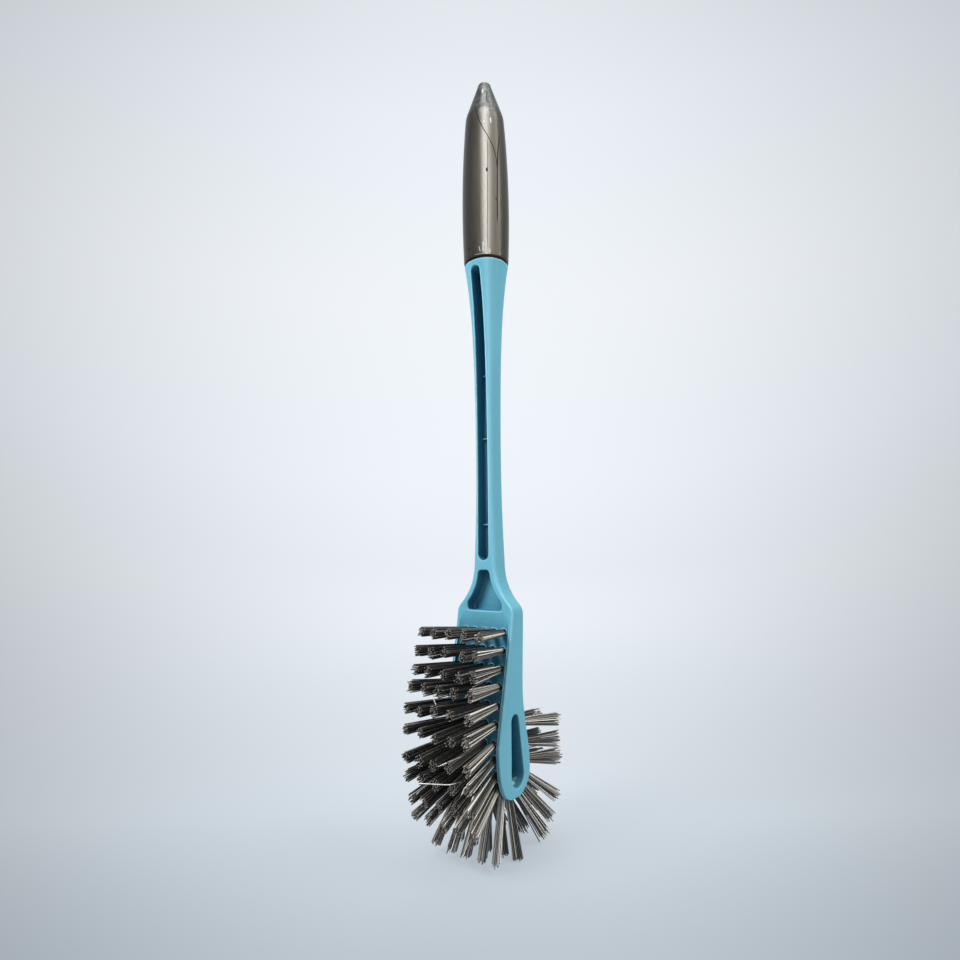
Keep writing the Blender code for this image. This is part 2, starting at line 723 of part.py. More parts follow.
def main():
    for item in list(bpy.data.objects):
        bpy.data.objects.remove(item)
    blue = plastic('handle_blue', (0.120, 0.390, 0.500), 0.30)
    silver = plastic('grip_silver', (0.400, 0.380, 0.360), 0.28, 0.85)
    taupe = plastic('bristle_taupe', (0.200, 0.180, 0.150), 0.50)
    pieces = [make_handle(blue), make_grip(silver), *make_rows(blue, taupe)]
    stand_on_floor(pieces)
    bpy.context.view_layer.update()


main()
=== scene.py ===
"""Toilet brush: the fine moulded handle, the grip sleeve and every filament of its tufts.

Shapes are worked out in a drawing frame whose origin lies on the stem's axis, level with the lowest
point of the head. The stem runs up +Z, the head is as wide as X, and the longest tufts face -Y.
Side profiles are (reach, height), where reach is the distance forward, towards -Y.
"""
import math
import random

import bmesh
import bpy
import numpy as np
from mathutils import Matrix, Vector
from mathutils.geometry import interpolate_bezier


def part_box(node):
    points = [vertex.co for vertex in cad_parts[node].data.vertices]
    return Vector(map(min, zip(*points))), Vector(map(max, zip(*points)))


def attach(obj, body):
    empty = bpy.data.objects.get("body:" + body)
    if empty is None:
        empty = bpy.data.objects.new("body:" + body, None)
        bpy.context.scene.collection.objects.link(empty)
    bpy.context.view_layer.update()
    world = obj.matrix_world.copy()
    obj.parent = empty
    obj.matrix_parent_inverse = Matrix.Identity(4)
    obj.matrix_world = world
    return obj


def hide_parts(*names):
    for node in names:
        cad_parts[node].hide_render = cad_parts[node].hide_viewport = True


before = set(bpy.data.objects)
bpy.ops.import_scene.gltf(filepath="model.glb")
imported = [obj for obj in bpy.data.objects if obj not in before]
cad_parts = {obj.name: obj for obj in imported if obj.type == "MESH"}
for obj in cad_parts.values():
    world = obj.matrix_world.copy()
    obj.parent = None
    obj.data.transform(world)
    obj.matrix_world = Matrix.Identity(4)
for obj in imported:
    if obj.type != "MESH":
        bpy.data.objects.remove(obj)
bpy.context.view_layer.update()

# Head
HEAD_WIDTH = 0.0332
HEAD_LENGTH = 0.0834
SHOULDER_FRONT = 0.0050
SHOULDER_BACK = 0.0043
FRONT_BULGE = 0.0171
FRONT_BULGE_HEIGHT = 0.0228
FOOT_REACH = 0.0049
BACK_BULGE = 0.0078
BACK_BULGE_HEIGHT = 0.0109
BACK_HOLLOW = 0.0029
BACK_HOLLOW_HEIGHT = 0.0460
SHOULDER_FRONT_RUN = 0.0090
FRONT_BULGE_RUNS = (0.0031, 0.0160)
FOOT_RUNS = (0.0085, 0.0070)
BACK_BULGE_RUNS = (0.0060, 0.0120)
BACK_HOLLOW_RUNS = (0.0120, 0.0120)
SHOULDER_BACK_RUN = 0.0120
HEAD_EDGE_RADIUS = 0.0009
CHEEK_THICKNESS = 0.0018

# Tufted field between the cheeks: how deep it lies, its dish above the first row and its fillets
FIELD_TOP_DROP = 0.0079
FRONT_RECESS = 0.0031
FIELD_BULGE_RISE = 0.0017
FOOT_RECESS = 0.0014
BACK_RECESS = 0.0015
FIELD_BACK_TOP = 0.0400
FIELD_BACK_TOP_REACH = 0.0034
FIELD_TOP_RUN = 0.0090
FIELD_FRONT_RUNS = (0.0060, 0.0130)
FIELD_FOOT_RUNS = (0.0065, 0.0055)
FIELD_BACK_RUNS = (0.0050, 0.0090)
FIELD_BACK_TOP_RUN = 0.0080
DISH_LIFT = 0.00012
DISH_SLOPE = 0.0046
DISH_RISE = 0.0013
DISH_TOP_DROP = 0.0004
DISH_END_DROP = 0.0090
DISH_FADE = 0.0160
FIELD_FILLET = 0.0009

# Slot through the head: (radius, reach, height) of the two circles that it wraps round
SLOT_LOW = (0.0050, 0.0026, 0.0091)
SLOT_HIGH = (0.0030, 0.0042, 0.0332)

# Neck and pocket
NECK_LENGTH = 0.0230
NECK_FLARE_POWER = 2.6
SHOULDER_DROP = 0.0030
SHOULDER_ROUNDING = 0.0025
POCKET_DEPTH = 0.0058
POCKET_FOOT_DROP = 0.0012
POCKET_HEIGHT = 0.0193
POCKET_RIM = 0.0038
POCKET_HALF_WIDTH = 0.0102
POCKET_CORNER_RADIUS = 0.0014
POCKET_ARCH = 0.0019

# Stem and channel
STEM_LENGTH = 0.1527
WAIST_HEIGHT = 0.0470
STEM_FOOT_HALF_WIDTH = 0.0068
STEM_FOOT_HALF_DEPTH = 0.0056
WAIST_HALF_WIDTH = 0.0056
WAIST_HALF_DEPTH = 0.0054
WAIST_CORNER_RADIUS = 0.0036
SEAT_HALF_WIDTH = 0.0112
SEAT_HALF_DEPTH = 0.0111
SEAT_CORNER_RADIUS = 0.0105
CHANNEL_FOOT_RADIUS = 0.0031
CHANNEL_TOP_RADIUS = 0.0028
CHANNEL_TOP_MARGIN = 0.0029
CHANNEL_BRIDGE = 0.0047
CHANNEL_BACK_WALL = 0.0040
RIB_THICKNESS = 0.0009
RIB_HEIGHT = 0.0022
RIB_EASE = 0.0003
RIB_OVERLAP = 0.0003
RIB_SINK = 0.0004
RIB_ROOT = 0.0010
RIB_PLACE_SHARES = (0.117, 0.407, 0.627)
TANG_RADIUS = 0.0096
TANG_FLAT = 0.0010
TANG_STUB = 0.0040

# Grip
GRIP_GAP = 0.0011
# The dark ring in the joint between seat and sleeve is painted shade
SEAM_RADIUS = 0.0109
GRIP_LENGTH = 0.1058
GRIP_RIM_RADIUS = 0.0116
GRIP_BARREL_RADIUS = 0.0124
GRIP_CORNER_RADIUS = 0.0103
GRIP_CORNER_ROUNDING = 0.0042
GRIP_CONE_LENGTH = 0.0212
GRIP_TIP_RADIUS = 0.0037
GRIP_TIP_ROUNDING = 0.0017
GRIP_RIM_ROUNDING = 0.0006
BORE_DEPTH = 0.0120
BORE_CLEARANCE = 0.0002
SEAM_SINK = 0.00005
SEAM_OVERLAP = 0.0004

# Thin marks on the grip: a line of (turn in degrees from the front, share of its height) and a radius
GRIP_LINES = (
    (
        ((5.9, 0.822), (11.4, 0.785), (20.3, 0.728), (34.1, 0.669), (47, 0.623), (59.7, 0.566), (65.8, 0.510),
         (66.9, 0.451)),
        0.00022,
    ),
    (
        ((81.7, 0.668), (76.8, 0.635), (72, 0.586), (68.7, 0.512), (66.4, 0.402), (65.3, 0.269),
         (64.9, 0.166)),
        0.00028,
    ),
    (((43.5, 0.644), (41.9, 0.441), (40.9, 0.261), (38.6, 0.014)), 0.00012),
    (((47.7, 0.916), (43.6, 0.876), (45.4, 0.850), (43.7, 0.823)), 0.00017),
    (((40.1, 0.459), (39.5, 0.440)), 0.00036),
    (((61.5, 0.307), (62.3, 0.295)), 0.00026),
    (((49.2, 0.780), (61.7, 0.785), (77.1, 0.804)), 0.00009),
    (((-20, 0.062), (-5, 0.058)), 0.00012),
)
# Pale lines on the grip: scuffs, and painted highlights such as the line round the foot at the rim
GRIP_SCUFFS_AND_HIGHLIGHTS = (
    (((24.6, 0.944), (29.1, 0.900)), 0.00042),
    (((33.9, 0.735), (35.1, 0.698)), 0.00036),
    (((52.7, 0.744), (53.1, 0.704)), 0.00036),
    (((28.8, 0.084), (28.7, 0.020)), 0.00030),
    (((37.7, 0.103), (37.4, 0.053)), 0.00020),
    (((18.4, 0.056), (21.6, 0.025)), 0.00022),
    (((45.8, 0.043), (45.7, 0.016)), 0.00022),
    (((4, 0.018), (20.4, 0.016), (50.8, 0.016)), 0.00009),
)

# A mark is walked along in lengths of the grip, and a turn of so many degrees counts as one length
DEGREES_IN_A_LENGTH = 400

# Tufts: places between the marks of the field, leans in degrees from square to the field, lengths
FIRST_ROW_DROP = 0.0030
EVEN_ROWS = 7
ROW_PLACE_SHARES = ((0.24, 0.485, 0.69, 0.875), (0.075, 0.34, 0.60, 0.86), (0.09, 0.355, 0.67))
ROW_LEANS = (3.5, 8, 10, 8.5, 9, 11.5, 8, 6, 5.5, 0, 6, -7.5, 7.5, -2.5, -18, -13, -15.5, -14.5)
ROW_LENGTH_SHARES = (
    0.96, 1, 1.01, 1.04, 1.06, 1.02, 1, 0.97, 0.96, 0.98, 0.98, 0.98, 1.07, 1.07, 1.03, 0.99, 0.99, 1.02,
)
OUTER_TUFT_OFFSET = 0.0114
OUTER_TUFT_LEAN = math.radians(11.2)
FRONT_TUFTS = 5
BACK_TUFTS = 4
FRONT_ROWS = 9
FOOT_ROWS = 3
BRISTLE_LENGTH = 0.0280
HOLE_RADIUS = 0.00175
HOLE_DEPTH = 0.0016
FILAMENTS = 27
FILAMENT_RADIUS = 0.00026
FILAMENT_RADIUS_SHARES = (0.9, 1.08)
FILAMENT_SIDES = 6
FILAMENT_SHARES = (0, 0.2, 0.4, 0.6, 0.8, 0.985, 1)
STRAY_RADIUS = 0.00022
GOLDEN_TURN = math.pi * (3 - math.sqrt(5))
TUFT_ROOT_RADIUS = 0.00140
TUFT_SINK_SHARE = 0.9
TUFT_TIP_SPREAD = (0.0020, 0.0027)
TIP_SPREAD_SHARES = ((0.85, 1.15), (0.8, 1.15))
BACK_SPREAD_SHARE = 1.35

# Unevenness of the tufts. A wild filament strays so many times as far as the others
SEED = 7
TUFT_SWAY = 0.0004
LENGTH_NOISE = 0.0006
TIP_NOISE = 0.00010
BOW = 0.00010
FLOOR_NOISE = 0.0002
WILD_SHARE = 0.07
WILD_FACTOR = 5

# Tone of the filaments, from 0 dark to 1 pale, at random; the tufts at the +X end and the foot are painted
# paler, as painted light
TONE_REACH_WITH_PAINTED_LIGHT = (0.50, 0.80)
PAINTED_LIGHT_TONE = 0.16
PAINTED_LIGHT_POWER = 4
FOOT_PAINTED_LIGHT = 0.8

# Stray filaments: lines of (across, reach, height) places
STRAYS = (
    ((0.0136, -0.0136, 0.0311), (0.0158, -0.0156, 0.0335), (0.0180, -0.0176, 0.0355)),
    ((0.0089, 0.0323, 0.0240), (0.0084, 0.0410, 0.0239), (0.0052, 0.0455, 0.0223)),
    ((0.0099, 0.0330, 0.0143), (0.0089, 0.0415, 0.0149), (0.0003, 0.0443, 0.0144), (-0.0088, 0.0472, 0.0137)),
    ((-0.0131, 0.0280, 0.0082), (-0.0141, 0.0349, 0.0058), (-0.0168, 0.0390, 0.0023)),
    ((0.0014, 0.0191, -0.0159), (0.0011, 0.0216, -0.0188), (0.0006, 0.0238, -0.0222)),
    ((-0.0063, 0.0352, 0.0481), (-0.0030, 0.0380, 0.0462), (0.0000, 0.0398, 0.0446)),
)

# Rounding, and how far the cutters reach past what they cut
LIP = 0.0006
CHANNEL_FILLET = 0.0016
POCKET_FILLET = 0.0007
SEAT_EDGE = 0.0004
FRONT_OVERRUN = 0.0060
SLOT_OVERRUN = 0.0040
FIELD_OVERRUN = 0.0071
HOLE_OVERRUN = 0.0022

# The handle's rings start just above its lowest point and lie closest round the foot
LOWEST_RING = 0.00001
FOOT_HEIGHT = 0.0124

# The channel's round ends start at this turn, so that none of their places fall together
CHANNEL_END_START = math.radians(12)

# Fineness: how many places each curve gets
CURVE_STEPS = 61
CORNER_STEPS = 8
FILLET_STEPS = 4
LIP_STEPS = 5
CHANNEL_END_STEPS = 9
CHANNEL_STEPS = 110
POCKET_CORNER_STEPS = 6
POCKET_SIDE_STEPS = 24
POCKET_ARCH_STEPS = 9
SLOT_TOP_STEPS = 24
SLOT_FOOT_STEPS = 32
DISH_STEPS = 14
FIELD_STATIONS = 160
FIELD_EDGE_STEPS = 12
FOOT_STEPS = 34
HEAD_STEPS = 58
NECK_STEPS = 28
STEM_STEPS = 120
SEAT_EDGE_STEPS = 4
RIM_STEPS = 6
BARREL_STEPS = 70
GRIP_CORNER_STEPS = 16
CONE_STEPS = 22
TIP_STEPS = 8
CIRCLE_SIDES = 96
HOLE_SIDES = 20
TUBE_SIDES = 6
GRIP_LINE_POINTS = 60
GRIP_SCUFF_AND_HIGHLIGHT_POINTS = 24
POINTS_PER_EASING = 6
STRAY_POINTS = 24
STRAY_EASINGS = 5

# Thin tubes taper over so many places, down to this share of their radius
TUBE_TAPER_STEPS = 5
TUBE_END_SHARE = 0.15

# Edges stay sharp above these angles in degrees
SHARP_EDGE = 34
SHARP_GRIP_EDGE = 40
SHARP_FILAMENT_EDGE = 70

QUARTER_TURN = math.pi / 2
DOWN = Vector((0, -1))
BACKWARD = Vector((-1, 0))
UP = Vector((0, 1))
NECK_TOP = HEAD_LENGTH + NECK_LENGTH
SEAT_HEIGHT = NECK_TOP + STEM_LENGTH
HALF_HEAD_WIDTH = HEAD_WIDTH / 2
HALF_FIELD_WIDTH = HALF_HEAD_WIDTH - CHEEK_THICKNESS
FIRST_BACK_ROW = FRONT_ROWS + FOOT_ROWS
CONE_LEVEL = SEAT_HEIGHT + GRIP_LENGTH - GRIP_CONE_LENGTH

# Camera, in the drawing frame
CAMERA_AZIMUTH = math.radians(37.0)
CAMERA_PITCH = math.radians(7.5)
CAMERA_ROLL = math.radians(-0.55)
CAMERA_PLACE = Vector((0.1764195, -0.2414593, 0.1068))
SENSOR_WIDTH = 36.0
FOCAL_LENGTH = 22.5
CLIP_START = 0.01
CLIP_END = 20.0

# Lamps: name, azimuth and elevation in degrees, size, power, colour, and light or only sheen
LAMP_TARGET = Vector((0, 0, 0.19))
LAMP_DISTANCE = 1.15
LAMPS = (
    ('right', 102, 40, (0.60, 0.60), 12.3, (1.0, 0.98, 0.93), 'light'),
    ('left', -20, 40, (0.50, 0.50), 18.5, (0.97, 0.98, 1.0), 'light'),
    ('back', 215, 30, (0.60, 0.60), 5.0, (1.0, 1.0, 1.0), 'light'),
    ('strip', 38, 36, (0.64, 1.70), 31.0, (0.82, 0.91, 1.0), 'sheen'),
    ('line', 37, 36, (0.07, 1.60), 7.0, (0.88, 0.94, 1.0), 'sheen'),
    ('side_line', 107, 36, (0.05, 1.60), 4.5, (0.95, 0.98, 1.0), 'sheen'),
    ('rim', 80, 36, (0.80, 1.70), 6.5, (0.94, 0.96, 1.0), 'sheen'),
)

WORLD_COLOUR = (0.86, 0.92, 1.0, 1)
WORLD_STRENGTH = 0.05

# Backdrop: a floor that bends up into a wall all round and closes in a ceiling
FLOOR_RADII = (0.02, 0.3, 0.6, 0.9)
BACKDROP_BEND = 1.2
CEILING_START = 2.4
CEILING_ANGLE = math.radians(89)
BEND_STEPS = 24
CEILING_STEPS = 16
BACKDROP_SIDES = 96

# Its glow and colour go by the distance from a centre high behind the brush: a painted pool of light
GLOW_CENTRE = (0, 2.0, 1.2)
GLOW_SCALE = 0.4
BACKDROP_STOPS = (
    (0.0, (0.855, 0.888, 0.922)),
    (0.33, (0.825, 0.866, 0.921)),
    (0.56, (0.765, 0.805, 0.847)),
    (0.76, (0.672, 0.716, 0.764)),
    (0.86, (0.612, 0.657, 0.701)),
    (0.92, (0.574, 0.631, 0.680)),
    (0.96, (0.426, 0.476, 0.522)),
    (1.00, (0.560, 0.590, 0.620)),
)

# It darkens to the sides as a painted fall-off of light, and a painted contact shadow darkens it where it
# touches something
DEPTH_OFFSET = 0.33
LEAST_DEPTH = 0.05
BEHIND_SLOPE = -2.0
SIDE_FALL = (-0.525, -0.443)
LEAST_FALL = 0.60
PAINTED_CONTACT_SHADOW_STOPS = ((0.2, (0.76, 0.78, 0.80)), (0.90, (1, 1, 1)))

# Share of it that glows by itself, and what is added to that share where it is seen or reflected
GLOW_STRENGTH = 1.12
GLOW_SHARE = 0.34
SEEN_SHARE = 0.50

# Materials: stops are (place, colour)
BLUE_STOPS = ((0.30, (0.130, 0.378, 0.480)), (0.70, (0.140, 0.398, 0.504)))
# Painted highlight along the teal's thin edges and lips
PAINTED_EDGE_HIGHLIGHT_COLOUR = (0.40, 0.70, 0.77, 1)
PAINTED_EDGE_HIGHLIGHT_STOPS = ((0.50, (0.95, 0.95, 0.95)), (0.88, (0, 0, 0)))
# Painted shade in the teal's hollows, by how open a place lies
PAINTED_HOLLOW_SHADE_STOPS = (
    (0.02, (0.03, 0.17, 0.26)),
    (0.14, (0.12, 0.38, 0.48)),
    (0.32, (0.19, 0.41, 0.49)),
    (0.62, (0.29, 0.48, 0.55)),
    (0.80, (1, 1, 1)),
)
BLUE_ROUGHNESS = ((0.3, (0.38, 0.38, 0.38)), (0.75, (0.48, 0.48, 0.48)))
SILVER_STOPS = ((0.30, (0.072, 0.061, 0.048)), (0.72, (0.102, 0.088, 0.072)))
# The cone's own spotted tone, paler than the barrel: painted light, set for how bright the cone shows
CONE_SPOTS_AND_PAINTED_LIGHT = ((0.40, (0.066, 0.062, 0.056)), (0.60, (0.170, 0.165, 0.150)))
CONE_FADE = 0.0060
SILVER_ROUGHNESS = ((0.3, (0.30, 0.30, 0.30)), (0.75, (0.42, 0.42, 0.42)))
FILAMENT_STOPS = (
    (0.0, (0.024, 0.022, 0.020)),
    (0.35, (0.055, 0.050, 0.044)),
    (0.55, (0.230, 0.210, 0.184)),
    (0.75, (0.520, 0.485, 0.430)),
    (1.0, (0.900, 0.860, 0.790)),
)
CUT_END_COLOUR = (0.20, 0.18, 0.16, 1)
# Painted shade deep between the filaments
PAINTED_GAP_SHADE_STOPS = ((0.14, (0.02, 0.02, 0.02)), (0.40, (0.50, 0.50, 0.50)), (0.60, (1, 1, 1)))
FILAMENT_ROUGHNESS = ((0.3, (0.30, 0.30, 0.30)), (0.7, (0.45, 0.45, 0.45)))
# Dark flow lines of the grip, and the seam's painted shade
DARK_LINE_AND_SEAM_SHADE_STOPS = ((0.3, (0.004, 0.004, 0.004)), (0.7, (0.020, 0.017, 0.015)))
SCUFF_AND_HIGHLIGHT_STOPS = ((0.3, (0.42, 0.41, 0.39)), (0.7, (0.70, 0.69, 0.67)))
STRAY_STOPS = ((0.3, (0.46, 0.42, 0.36)), (0.7, (0.80, 0.77, 0.71)))

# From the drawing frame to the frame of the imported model
handle_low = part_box("handle")[0]
STAND = Vector((0, handle_low[1] + FRONT_BULGE, handle_low[2]))


def blend(start, end, share):
    return start + (end - start) * share


def in_space(across, reach, height):
    """Point in the drawing frame for a place across the brush and a point of a side profile."""
    return Vector((across, -reach, height))


def spread(start, end, count):
    return [blend(start, end, index / (count - 1)) for index in range(count)]


def curve_through(knots):
    """Smooth profile through knots: a place, a direction of travel and the curve's runs before and after."""
    points = [Vector(knots[0][0])]
    for (start, heading, _, run_out), (end, next_heading, run_in, _) in zip(knots, knots[1:]):
        start = Vector(start)
        end = Vector(end)
        after_start = start + heading * run_out
        before_end = end - next_heading * run_in
        points += interpolate_bezier(start, after_start, before_end, end, CURVE_STEPS)[1:]
    return points


# Side profiles: the cheeks' edge, and the tufted field between the cheeks
CHEEK = curve_through((
    ((SHOULDER_FRONT, HEAD_LENGTH), DOWN, 0, SHOULDER_FRONT_RUN),
    ((FRONT_BULGE, FRONT_BULGE_HEIGHT), DOWN, *FRONT_BULGE_RUNS),
    ((FOOT_REACH, 0), BACKWARD, *FOOT_RUNS),
    ((-BACK_BULGE, BACK_BULGE_HEIGHT), UP, *BACK_BULGE_RUNS),
    ((-BACK_HOLLOW, BACK_HOLLOW_HEIGHT), UP, *BACK_HOLLOW_RUNS),
    ((-SHOULDER_BACK, HEAD_LENGTH), UP, SHOULDER_BACK_RUN, 0),
))
FIELD = curve_through((
    ((SHOULDER_FRONT, HEAD_LENGTH - FIELD_TOP_DROP), DOWN, 0, FIELD_TOP_RUN),
    ((FRONT_BULGE - FRONT_RECESS, FRONT_BULGE_HEIGHT + FIELD_BULGE_RISE), DOWN, *FIELD_FRONT_RUNS),
    ((FOOT_REACH, FOOT_RECESS), BACKWARD, *FIELD_FOOT_RUNS),
    ((BACK_RECESS - BACK_BULGE, BACK_BULGE_HEIGHT), UP, *FIELD_BACK_RUNS),
    ((-FIELD_BACK_TOP_REACH, FIELD_BACK_TOP), UP, FIELD_BACK_TOP_RUN, 0),
))
FIELD_STEPS = [(after - before).length for before, after in zip(FIELD, FIELD[1:])]
FIELD_LENGTH = sum(FIELD_STEPS)


def field_point(distance):
    """Point of the field and the way out of it, at a distance along its profile."""
    walked = 0
    for before, after, step in zip(FIELD, FIELD[1:], FIELD_STEPS):
        if walked + step >= distance:
            break
        walked += step
    heading = (after - before).normalized()
    return before + heading * (distance - walked), Vector((-heading.y, heading.x))


def row_distances():
    marks = [sum(FIELD_STEPS[:index]) for index in range(0, len(FIELD), CURVE_STEPS - 1)]
    distances = spread(FIRST_ROW_DROP, marks[1], EVEN_ROWS)
    for start, end, shares in zip(marks[1:], marks[2:], ROW_PLACE_SHARES):
        distances += [blend(start, end, share) for share in shares]
    return distances


# Mesh helpers
def new_object(name, bm):
    bmesh.ops.recalc_face_normals(bm, faces=bm.faces)
    mesh = bpy.data.meshes.new(name)
    bm.to_mesh(mesh)
    bm.free()
    item = bpy.data.objects.new(name, mesh)
    bpy.context.scene.collection.objects.link(item)
    return item


def add_rings(bm, rings):
    loops = [[bm.verts.new(point) for point in ring] for ring in rings]
    for lower, upper in zip(loops, loops[1:]):
        for index in range(len(lower)):
            following = (index + 1) % len(lower)
            bm.faces.new((lower[index], lower[following], upper[following], upper[index]))
    return loops


def cap_flat(bm, loop):
    bm.faces.new(loop)


def cap_pairs(bm, loop):
    """Cap of a ring that goes up one side and down the other: a ladder of quads."""
    half = len(loop) // 2
    for index in range(half - 1):
        bm.faces.new((loop[index], loop[index + 1], loop[-2 - index], loop[-1 - index]))


def add_body(bm, rings, cap=cap_flat):
    loops = add_rings(bm, rings)
    cap(bm, loops[0])
    cap(bm, loops[-1])
    return loops


def loft(name, rings, cap=cap_flat):
    bm = bmesh.new()
    add_body(bm, rings, cap)
    return new_object(name, bm)


def around(side, over, sides):
    """Ways round a full turn, from two ways that stand square to each other."""
    turns = [math.tau * corner / sides for corner in range(sides)]
    return [side * math.cos(turn) + over * math.sin(turn) for turn in turns]


def cut(item, others, operation='DIFFERENCE'):
    """Exact Boolean of a body with others, applied at once."""
    for other in others:
        modifier = item.modifiers.new(other.name, 'BOOLEAN')
        modifier.operation = operation
        modifier.solver = 'EXACT'
        modifier.object = other
    bpy.context.view_layer.update()
    graph = bpy.context.evaluated_depsgraph_get()
    mesh = bpy.data.meshes.new_from_object(item.evaluated_get(graph))
    item.modifiers.clear()
    item.data = mesh
    for other in others:
        bpy.data.objects.remove(other)


def finish(item, material, sharp_degrees=None):
    """Gives a body its material and shading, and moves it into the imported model's frame."""
    item.data.materials.clear()
    item.data.materials.append(material)
    item.data.shade_smooth()
    if sharp_degrees:
        item.data.set_sharp_from_angle(angle=math.radians(sharp_degrees))
    item.location = STAND
    return item


# Handle
def stem_size(height, foot, waist, seat):
    waist_level = NECK_TOP + WAIST_HEIGHT
    if height < waist_level:
        return blend(waist, foot, ((waist_level - height) / WAIST_HEIGHT) ** 2)
    share = (height - waist_level) / (SEAT_HEIGHT - waist_level)
    return blend(waist, seat, (share ** 2 + share ** 5) / 2)


def neck_half_width(height):
    """Half width of the neck, which flares from the stem and rounds over into the head's sides."""
    share = (NECK_TOP - height) / NECK_LENGTH
    flare = blend(STEM_FOOT_HALF_WIDTH, HALF_HEAD_WIDTH, share ** NECK_FLARE_POWER)
    painted_light_share = max(1 - abs(flare - HALF_HEAD_WIDTH) / SHOULDER_ROUNDING, 0)
    return min(flare, HALF_HEAD_WIDTH) - SHOULDER_ROUNDING * painted_light_share ** 2 / 4


LOWEST = min(range(len(CHEEK)), key=lambda index: CHEEK[index].y)
FRONT_SIDE = CHEEK[LOWEST::-1]
BACK_SIDE = CHEEK[LOWEST:]


def section(height):
    """Half width, front reach, back depth and corner radius of the handle at a height."""
    if height > NECK_TOP:
        half_width = stem_size(height, STEM_FOOT_HALF_WIDTH, WAIST_HALF_WIDTH, SEAT_HALF_WIDTH)
        half_depth = stem_size(height, STEM_FOOT_HALF_DEPTH, WAIST_HALF_DEPTH, SEAT_HALF_DEPTH)
        radius = stem_size(height, WAIST_CORNER_RADIUS, WAIST_CORNER_RADIUS, SEAT_CORNER_RADIUS)
        return half_width, half_depth, half_depth, radius
    if height > HEAD_LENGTH:
        share = (NECK_TOP - height) / NECK_LENGTH
        front = blend(STEM_FOOT_HALF_DEPTH, SHOULDER_FRONT, share)
        back = blend(STEM_FOOT_HALF_DEPTH, SHOULDER_BACK, share)
        return neck_half_width(height), front, back, blend(WAIST_CORNER_RADIUS, HEAD_EDGE_RADIUS, share)
    front = float(np.interp(height, [point.y for point in FRONT_SIDE], [point.x for point in FRONT_SIDE]))
    back = float(np.interp(height, [point.y for point in BACK_SIDE], [point.x for point in BACK_SIDE]))
    inset = 0
    if height < HEAD_EDGE_RADIUS:
        inset = HEAD_EDGE_RADIUS - math.sqrt(HEAD_EDGE_RADIUS ** 2 - (HEAD_EDGE_RADIUS - height) ** 2)
    half_width = neck_half_width(height) if height > HEAD_LENGTH - SHOULDER_DROP else HALF_HEAD_WIDTH
    return half_width - inset, front, -back, HEAD_EDGE_RADIUS


def rounded_ring(height, half_width, front, back, radius):
    radius = min(radius, half_width, (front + back) / 2)
    corners = (
        (half_width - radius, back - radius),
        (radius - half_width, back - radius),
        (radius - half_width, radius - front),
        (half_width - radius, radius - front),
    )
    points = []
    for quarter, (across, along) in enumerate(corners):
        for step in range(CORNER_STEPS):
            turn = QUARTER_TURN * (quarter + step / (CORNER_STEPS - 1))
            points.append(Vector((across + radius * math.cos(turn), along + radius * math.sin(turn), height)))
    return points


def front_reach(height):
    return section(height)[1]


def hollow(name, sides, floor_of, fillet):
    """Cutter for a hollow in the front: sides are (height, half width) from its foot to its top."""
    outline = [Vector((width, height)) for height, width in sides]
    outline += [Vector((-width, height)) for height, width in reversed(sides)]
    count = len(outline)
    ways = []
    for index in range(count):
        along = outline[(index + 1) % count] - outline[index - 1]
        ways.append(Vector((along.y, -along.x)).normalized())
    layers = []
    for turn in spread(0, QUARTER_TURN, FILLET_STEPS):
        layers.append((-fillet * (1 - math.sin(turn)), floor_of, fillet * (1 - math.cos(turn))))
    for turn in spread(0, QUARTER_TURN, LIP_STEPS):
        layers.append((LIP * (1 - math.cos(turn)), front_reach, LIP * (math.sin(turn) - 1)))
    layers.append((LIP, front_reach, FRONT_OVERRUN))
    rings = []
    for outset, level_of, rise in layers:
        ring = []
        for point, way in zip(outline, ways):
            moved = point + way * outset
            ring.append(in_space(moved.x, level_of(point.y) + rise, moved.y))
        rings.append(ring)
    return loft(name, rings, cap_pairs)


def channel_floor(height):
    return CHANNEL_BACK_WALL - section(height)[2]


def channel_body(foot, top):
    low = foot + CHANNEL_FOOT_RADIUS
    high = top - CHANNEL_TOP_RADIUS
    turns = spread(CHANNEL_END_START, QUARTER_TURN, CHANNEL_END_STEPS)
    rounds = [(1 - math.cos(turn), math.sin(turn)) for turn in turns]
    sides = [(foot + CHANNEL_FOOT_RADIUS * rise, CHANNEL_FOOT_RADIUS * width) for rise, width in rounds]
    for height in spread(low, high, CHANNEL_STEPS)[1:-1]:
        sides.append((height, blend(CHANNEL_FOOT_RADIUS, CHANNEL_TOP_RADIUS, (height - low) / (high - low))))
    for rise, width in reversed(rounds):
        sides.append((top - CHANNEL_TOP_RADIUS * rise, CHANNEL_TOP_RADIUS * width))
    return hollow('channel_cut', sides, channel_floor, CHANNEL_FILLET)


def pocket_body():
    foot = HEAD_LENGTH - POCKET_FOOT_DROP
    top = foot + POCKET_HEIGHT

    def half_width(height):
        height = max(height, HEAD_LENGTH)
        return min(neck_half_width(height) - POCKET_RIM, POCKET_HALF_WIDTH)

    sides = []
    foot_width = half_width(foot + POCKET_CORNER_RADIUS)
    for turn in spread(0, QUARTER_TURN, POCKET_CORNER_STEPS):
        height = foot + POCKET_CORNER_RADIUS * (1 - math.cos(turn))
        sides.append((height, foot_width - POCKET_CORNER_RADIUS * (1 - math.sin(turn))))
    for height in spread(foot + POCKET_CORNER_RADIUS, top - POCKET_ARCH, POCKET_SIDE_STEPS)[1:-1]:
        sides.append((height, half_width(height)))
    widest = half_width(top - POCKET_ARCH)
    for turn in spread(0, QUARTER_TURN, POCKET_ARCH_STEPS):
        sides.append((top - POCKET_ARCH * (1 - math.sin(turn)), widest - POCKET_ARCH * (1 - math.cos(turn))))
    return hollow('pocket_cut', sides, lambda height: SHOULDER_FRONT - POCKET_DEPTH, POCKET_FILLET)


